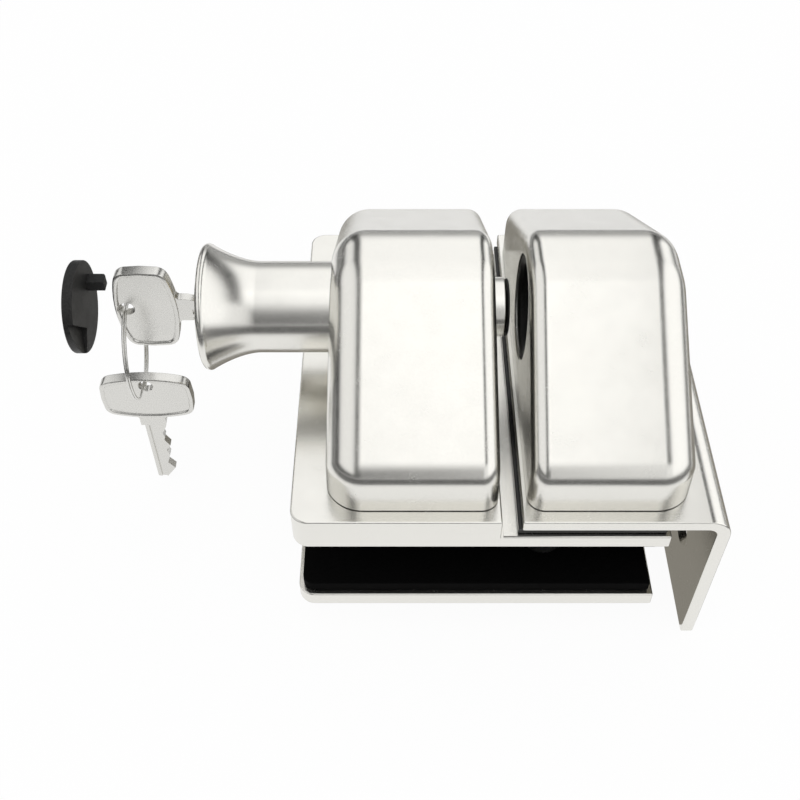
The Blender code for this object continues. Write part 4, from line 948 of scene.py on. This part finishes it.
def grained(name, light, dark, metallic, roughness, grain, relief, specular, stretch):
    """Finish from a row of FINISHES: grain moves its colour, gloss and surface, and slow clouds its gloss."""
    made, tree, shader = blank_material(name, {"Metallic": metallic, "Specular IOR Level": specular})
    coordinates = node(tree, "ShaderNodeTexCoord")
    fine = noise_on(tree, coordinates, grain, GRAIN_DETAIL, stretch)
    clouds = noise_on(tree, coordinates, CLOUD_SCALE, CLOUD_DETAIL, EVEN)
    tint = node(tree, "ShaderNodeMix", data_type="RGBA")
    tint.inputs["A"].default_value = (*dark, 1)
    tint.inputs["B"].default_value = (*light, 1)
    share = ranged(tree, fine, 0, 1)
    wire(tree, share, "Result", tint, "Factor")
    tree.links.new(tint.outputs["Result"], shader.inputs["Base Color"])
    blend = node(tree, "ShaderNodeMath", operation="ADD")
    coarse_gloss = ranged(tree, clouds, roughness[0], (roughness[0] + roughness[1]) / 2)
    fine_gloss = ranged(tree, fine, 0, (roughness[1] - roughness[0]) / 2)
    wire(tree, coarse_gloss, "Result", blend, 0)
    wire(tree, fine_gloss, "Result", blend, 1)
    wire(tree, blend, "Value", shader, "Roughness")
    bump = node(tree, "ShaderNodeBump", {"Strength": 1.0, "Distance": relief})
    wire(tree, fine, "Fac", bump, "Height")
    wire(tree, bump, "Normal", shader, "Normal")
    return made


def make_looks():
    """Finishes by name."""
    return {name: grained(name, *finish) for name, finish in FINISHES.items()}


def dress_inner_nodes(looks):
    for look, names in BARE_NODES.items():
        for name in names:
            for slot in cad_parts[name].material_slots:
                slot.material = looks[look]


# Studio, in metres
FLOOR_HALF = 3.0
FLOOR_DROP = 0.0002
FLOOR_WHITE = 0.92
FLOOR_SEEN = 0.95
FLOOR_MIRRORED = 0.85
BACKDROP_RADIUS = 4.0
BACKDROP_DETAIL = 3
# Painted dark reflection: a grey ring on the floor round the part; painted shade: a dim glowing card under
# it. Only mirror images show either
PAINTED_RING_PLACE = (0.0, 0.12)
PAINTED_RING_START = 0.27
PAINTED_RING_REACH = 1.2
PAINTED_REFLECTION_GREY = 0.12
# Painted shade under the part: outline of a dim glowing card that mirror images show in place of its shadow
SHADE = ((-0.078, -0.008), (-0.05, -0.008), (-0.05, -0.048), (0.2, -0.048), (0.2, 0.16), (-0.078, 0.16))
SHADE_LIGHT = 0.26
SHADE_TINT = (1, 0.95, 0.84, 1)
# Light along the circle from the front horizon over the top to the back horizon: degrees, strength
ARCH = ((-180, 0.4), (-90, 0.15), (-5, 0.17), (12, 0.19), (24, 0.3), (34, 0.55), (44, 0.9), (54, 1.17),
        (62, 1.2), (69, 1.27), (80, 1.34), (94, 1.24), (145, 1.18), (155, 1.0), (165, 0.5), (173, 0.38))
# Share of that light from left to right, and the light of the two side panels: sideways part, strength
ARCH_WIDTH = ((-1, 0), (-0.26, 0), (-0.18, 1), (0.28, 1), (0.36, 0), (1, 0))
SIDE_PANELS = ((-1, 0.98), (-0.47, 0.98), (-0.4, 0), (0.50, 0), (0.58, 1.22), (1, 1.22))
# The panels start above these heights, which PANEL_TILT lowers towards the right
PANEL_FOOT = (0.04, 0.16)
PANEL_TILT = 0.14
# Glow in front and to the right, low down: sideways part, strength; it fades out upwards and backwards
FRONT_GLOW = ((-1, 0), (-0.1, 0.14), (0.05, 0.42), (0.2, 0.9), (0.5, 0.95), (1, 0.95))
GLOW_TOP = (0.8, 0.62)
GLOW_BACK = (0, -0.3)
# Soft lamps: place, size, watts
KEY_LAMP = ((0.06, -0.36, 0.95), 0.5, 0.05)
FILL_LAMP = ((-0.3, -0.3, 1.1), 0.8, 3.0)


def white_emission(tree):
    return node(tree, "ShaderNodeEmission", {"Color": (1, 1, 1, 1), "Strength": 1.0})


def stage_object(name, bm, fill):
    """Stage piece drawn in metres. fill(tree) makes the nodes of its material and returns the last one."""
    obj = link(name, bm)
    made = bpy.data.materials.new(name)
    made.use_nodes = True
    tree = made.node_tree
    tree.nodes.clear()
    output = node(tree, "ShaderNodeOutputMaterial")
    tree.links.new(fill(tree).outputs[0], output.inputs["Surface"])
    obj.data.materials.append(made)
    obj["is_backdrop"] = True
    return obj


def floor_shader(tree):
    """Pale and matt, and mostly lit by itself to the camera and in mirror images: shadows stay faint."""
    matt = node(tree, "ShaderNodeBsdfDiffuse", {"Color": (FLOOR_WHITE, FLOOR_WHITE, FLOOR_WHITE, 1)})
    path = node(tree, "ShaderNodeLightPath")
    mirrored = node(tree, "ShaderNodeMath", operation="MAXIMUM")
    wire(tree, path, "Is Glossy Ray", mirrored, 0)
    wire(tree, path, "Is Transmission Ray", mirrored, 1)
    dimmed = node(tree, "ShaderNodeMath", {1: FLOOR_MIRRORED}, operation="MULTIPLY")
    wire(tree, mirrored, "Value", dimmed, 0)
    seen = node(tree, "ShaderNodeMath", {1: FLOOR_SEEN}, operation="MULTIPLY")
    wire(tree, path, "Is Camera Ray", seen, 0)
    share = node(tree, "ShaderNodeMath", operation="MAXIMUM")
    wire(tree, seen, "Value", share, 0)
    wire(tree, dimmed, "Value", share, 1)
    mixed = node(tree, "ShaderNodeMixShader")
    wire(tree, share, "Value", mixed, "Fac")
    wire(tree, matt, "BSDF", mixed, 1)
    wire(tree, white_emission(tree), "Emission", mixed, 2)
    return mixed


# Painted shade: dim warm glow of the card under the part, seen only in mirror images
def shade_shader(tree):
    return node(tree, "ShaderNodeEmission", {"Color": SHADE_TINT, "Strength": SHADE_LIGHT})


# Painted dark reflection: grey of the ring that only mirror images show
def painted_reflection_shader(tree):
    return node(tree, "ShaderNodeBsdfDiffuse", {"Color": (PAINTED_REFLECTION_GREY, PAINTED_REFLECTION_GREY, PAINTED_REFLECTION_GREY, 1)})


def floor():
    """Pale floor just below the part, a white backdrop round all, and a painted dark reflection ring and
    painted shade that only metal mirrors.
    """
    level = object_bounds()[0].z - FLOOR_DROP
    sheet = bmesh.new()
    bmesh.ops.create_grid(sheet, size=FLOOR_HALF, matrix=Matrix.Translation((0, 0, level)))
    stage_object("studio_floor", sheet, floor_shader)
    sphere = bmesh.new()
    bmesh.ops.create_icosphere(sphere, subdivisions=BACKDROP_DETAIL, radius=BACKDROP_RADIUS)
    backdrop = stage_object("studio_backdrop", sphere, white_emission)
    # Painted dark reflection: grey ring on the floor round the part, seen only in mirror images
    ring = turned([(level, PAINTED_RING_START), (level, PAINTED_RING_REACH), (level + MM, PAINTED_RING_REACH),
                   (level + MM, PAINTED_RING_START)], along="Z", at=(*PAINTED_RING_PLACE, 0))
    reflection_ring = stage_object("painted_reflection_ring", ring, painted_reflection_shader)
    # Painted shade: dim glowing card under the part, seen only in mirror images
    card = prism(SHADE, level, level + FLOOR_DROP / 2)
    shade = stage_object("studio_shade", card, shade_shader)
    reflection_ring.visible_camera = False
    shade.visible_camera = False
    backdrop.visible_glossy = False
    for obj in (reflection_ring, shade, backdrop):
        obj.visible_diffuse = False
        obj.visible_shadow = False
        obj.visible_transmission = False


def graph_of(tree, source, points, low, high):
    """Strength that follows (place, strength) points as the source goes from low to high."""
    place = node(tree, "ShaderNodeMapRange", {"From Min": low, "From Max": high})
    tree.links.new(source, place.inputs["Value"])
    ramp = node(tree, "ShaderNodeValToRGB")
    ramp.color_ramp.interpolation = "EASE"
    stops = ramp.color_ramp.elements
    while len(stops) < len(points):
        stops.new(0.5)
    for stop, (spot, strength) in zip(stops, points):
        stop.position = (spot - low) / (high - low)
        stop.color = (strength, strength, strength, 1)
    wire(tree, place, "Result", ramp, "Fac")
    return ramp.outputs["Color"]


def soft_step(tree, source, span):
    """From 0 to 1 as the source goes from one end of the span to the other."""
    made = node(tree, "ShaderNodeMapRange", {"From Min": span[0], "From Max": span[1]},
                interpolation_type="SMOOTHSTEP")
    tree.links.new(source, made.inputs["Value"])
    return made.outputs["Result"]


def join(tree, operation, first, second):
    made = node(tree, "ShaderNodeMath", operation=operation)
    tree.links.new(first, made.inputs[0])
    tree.links.new(second, made.inputs[1])
    return made.outputs["Value"]


def studio_air():
    """Light of a soft studio: an arch over the part, a panel on each side and a glow in front."""
    world = bpy.data.worlds.new("studio")
    bpy.context.scene.world = world
    world.use_nodes = True
    tree = world.node_tree
    tree.nodes.clear()
    output = node(tree, "ShaderNodeOutputWorld")
    coordinates = node(tree, "ShaderNodeTexCoord")
    axes = node(tree, "ShaderNodeSeparateXYZ")
    wire(tree, coordinates, "Generated", axes, "Vector")
    forward = node(tree, "ShaderNodeMath", {1: -1.0}, operation="MULTIPLY")
    wire(tree, axes, "Y", forward, 0)
    turn = join(tree, "ARCTAN2", axes.outputs["Z"], forward.outputs["Value"])
    degrees = node(tree, "ShaderNodeMath", operation="DEGREES")
    tree.links.new(turn, degrees.inputs[0])
    arch = join(tree, "MULTIPLY", graph_of(tree, degrees.outputs["Value"], ARCH, -180, 180),
                graph_of(tree, axes.outputs["X"], ARCH_WIDTH, -1, 1))
    tilted = node(tree, "ShaderNodeMath", {1: PANEL_TILT}, operation="MULTIPLY_ADD")
    wire(tree, axes, "X", tilted, 0)
    wire(tree, axes, "Z", tilted, 2)
    above = soft_step(tree, tilted.outputs["Value"], PANEL_FOOT)
    panels = join(tree, "MULTIPLY", graph_of(tree, axes.outputs["X"], SIDE_PANELS, -1, 1), above)
    low_front = join(tree, "MULTIPLY", soft_step(tree, axes.outputs["Z"], GLOW_TOP),
                     soft_step(tree, axes.outputs["Y"], GLOW_BACK))
    glow = join(tree, "MULTIPLY", graph_of(tree, axes.outputs["X"], FRONT_GLOW, -1, 1), low_front)
    studio = node(tree, "ShaderNodeBackground", {"Color": (1, 1, 1, 1)})
    lights = join(tree, "MAXIMUM", arch, panels)
    tree.links.new(join(tree, "MAXIMUM", lights, glow), studio.inputs["Strength"])
    wire(tree, studio, "Background", output, "Surface")


def softbox(name, place, size, watts):
    """Square area lamp that looks at the middle of the part."""
    lamp = bpy.data.lights.new(name, "AREA")
    lamp.size = size
    lamp.energy = watts
    obj = bpy.data.objects.new(name, lamp)
    bpy.context.scene.collection.objects.link(obj)
    obj.location = place
    obj.rotation_euler = (-Vector(place)).to_track_quat("-Z", "Y").to_euler()
    return obj


def camera():
    lens = bpy.data.cameras.new("camera")
    lens.lens = LENS
    lens.sensor_width = SENSOR_WIDTH
    lens.clip_start = CAMERA_NEAR
    obj = bpy.data.objects.new("camera", lens)
    bpy.context.scene.collection.objects.link(obj)
    obj.location = CAMERA_PLACE
    obj.rotation_euler = (math.radians(90 - CAMERA_DIP), 0, 0)
    bpy.context.scene.camera = obj


def main():
    bpy.context.scene.view_settings.view_transform = "Standard"
    looks = make_looks()
    base_plate(looks)
    clamp_plate(looks)
    rubber_pads(looks)
    keeper_bracket(looks)
    socket_screws(looks)
    sleeves(looks)
    latch_housing(looks)
    keeper_housing(looks)
    strike_cup(looks)
    knob(looks)
    latch_bolt(looks)
    lock_cylinder(looks)
    knob_cap(looks)
    keys(looks)
    key_ring(looks)
    return_spring(looks)
    dress_inner_nodes(looks)
    floor()
    studio_air()
    softbox("key_light", *KEY_LAMP)
    fill = softbox("fill_light", *FILL_LAMP)
    fill.visible_glossy = False
    camera()


main()
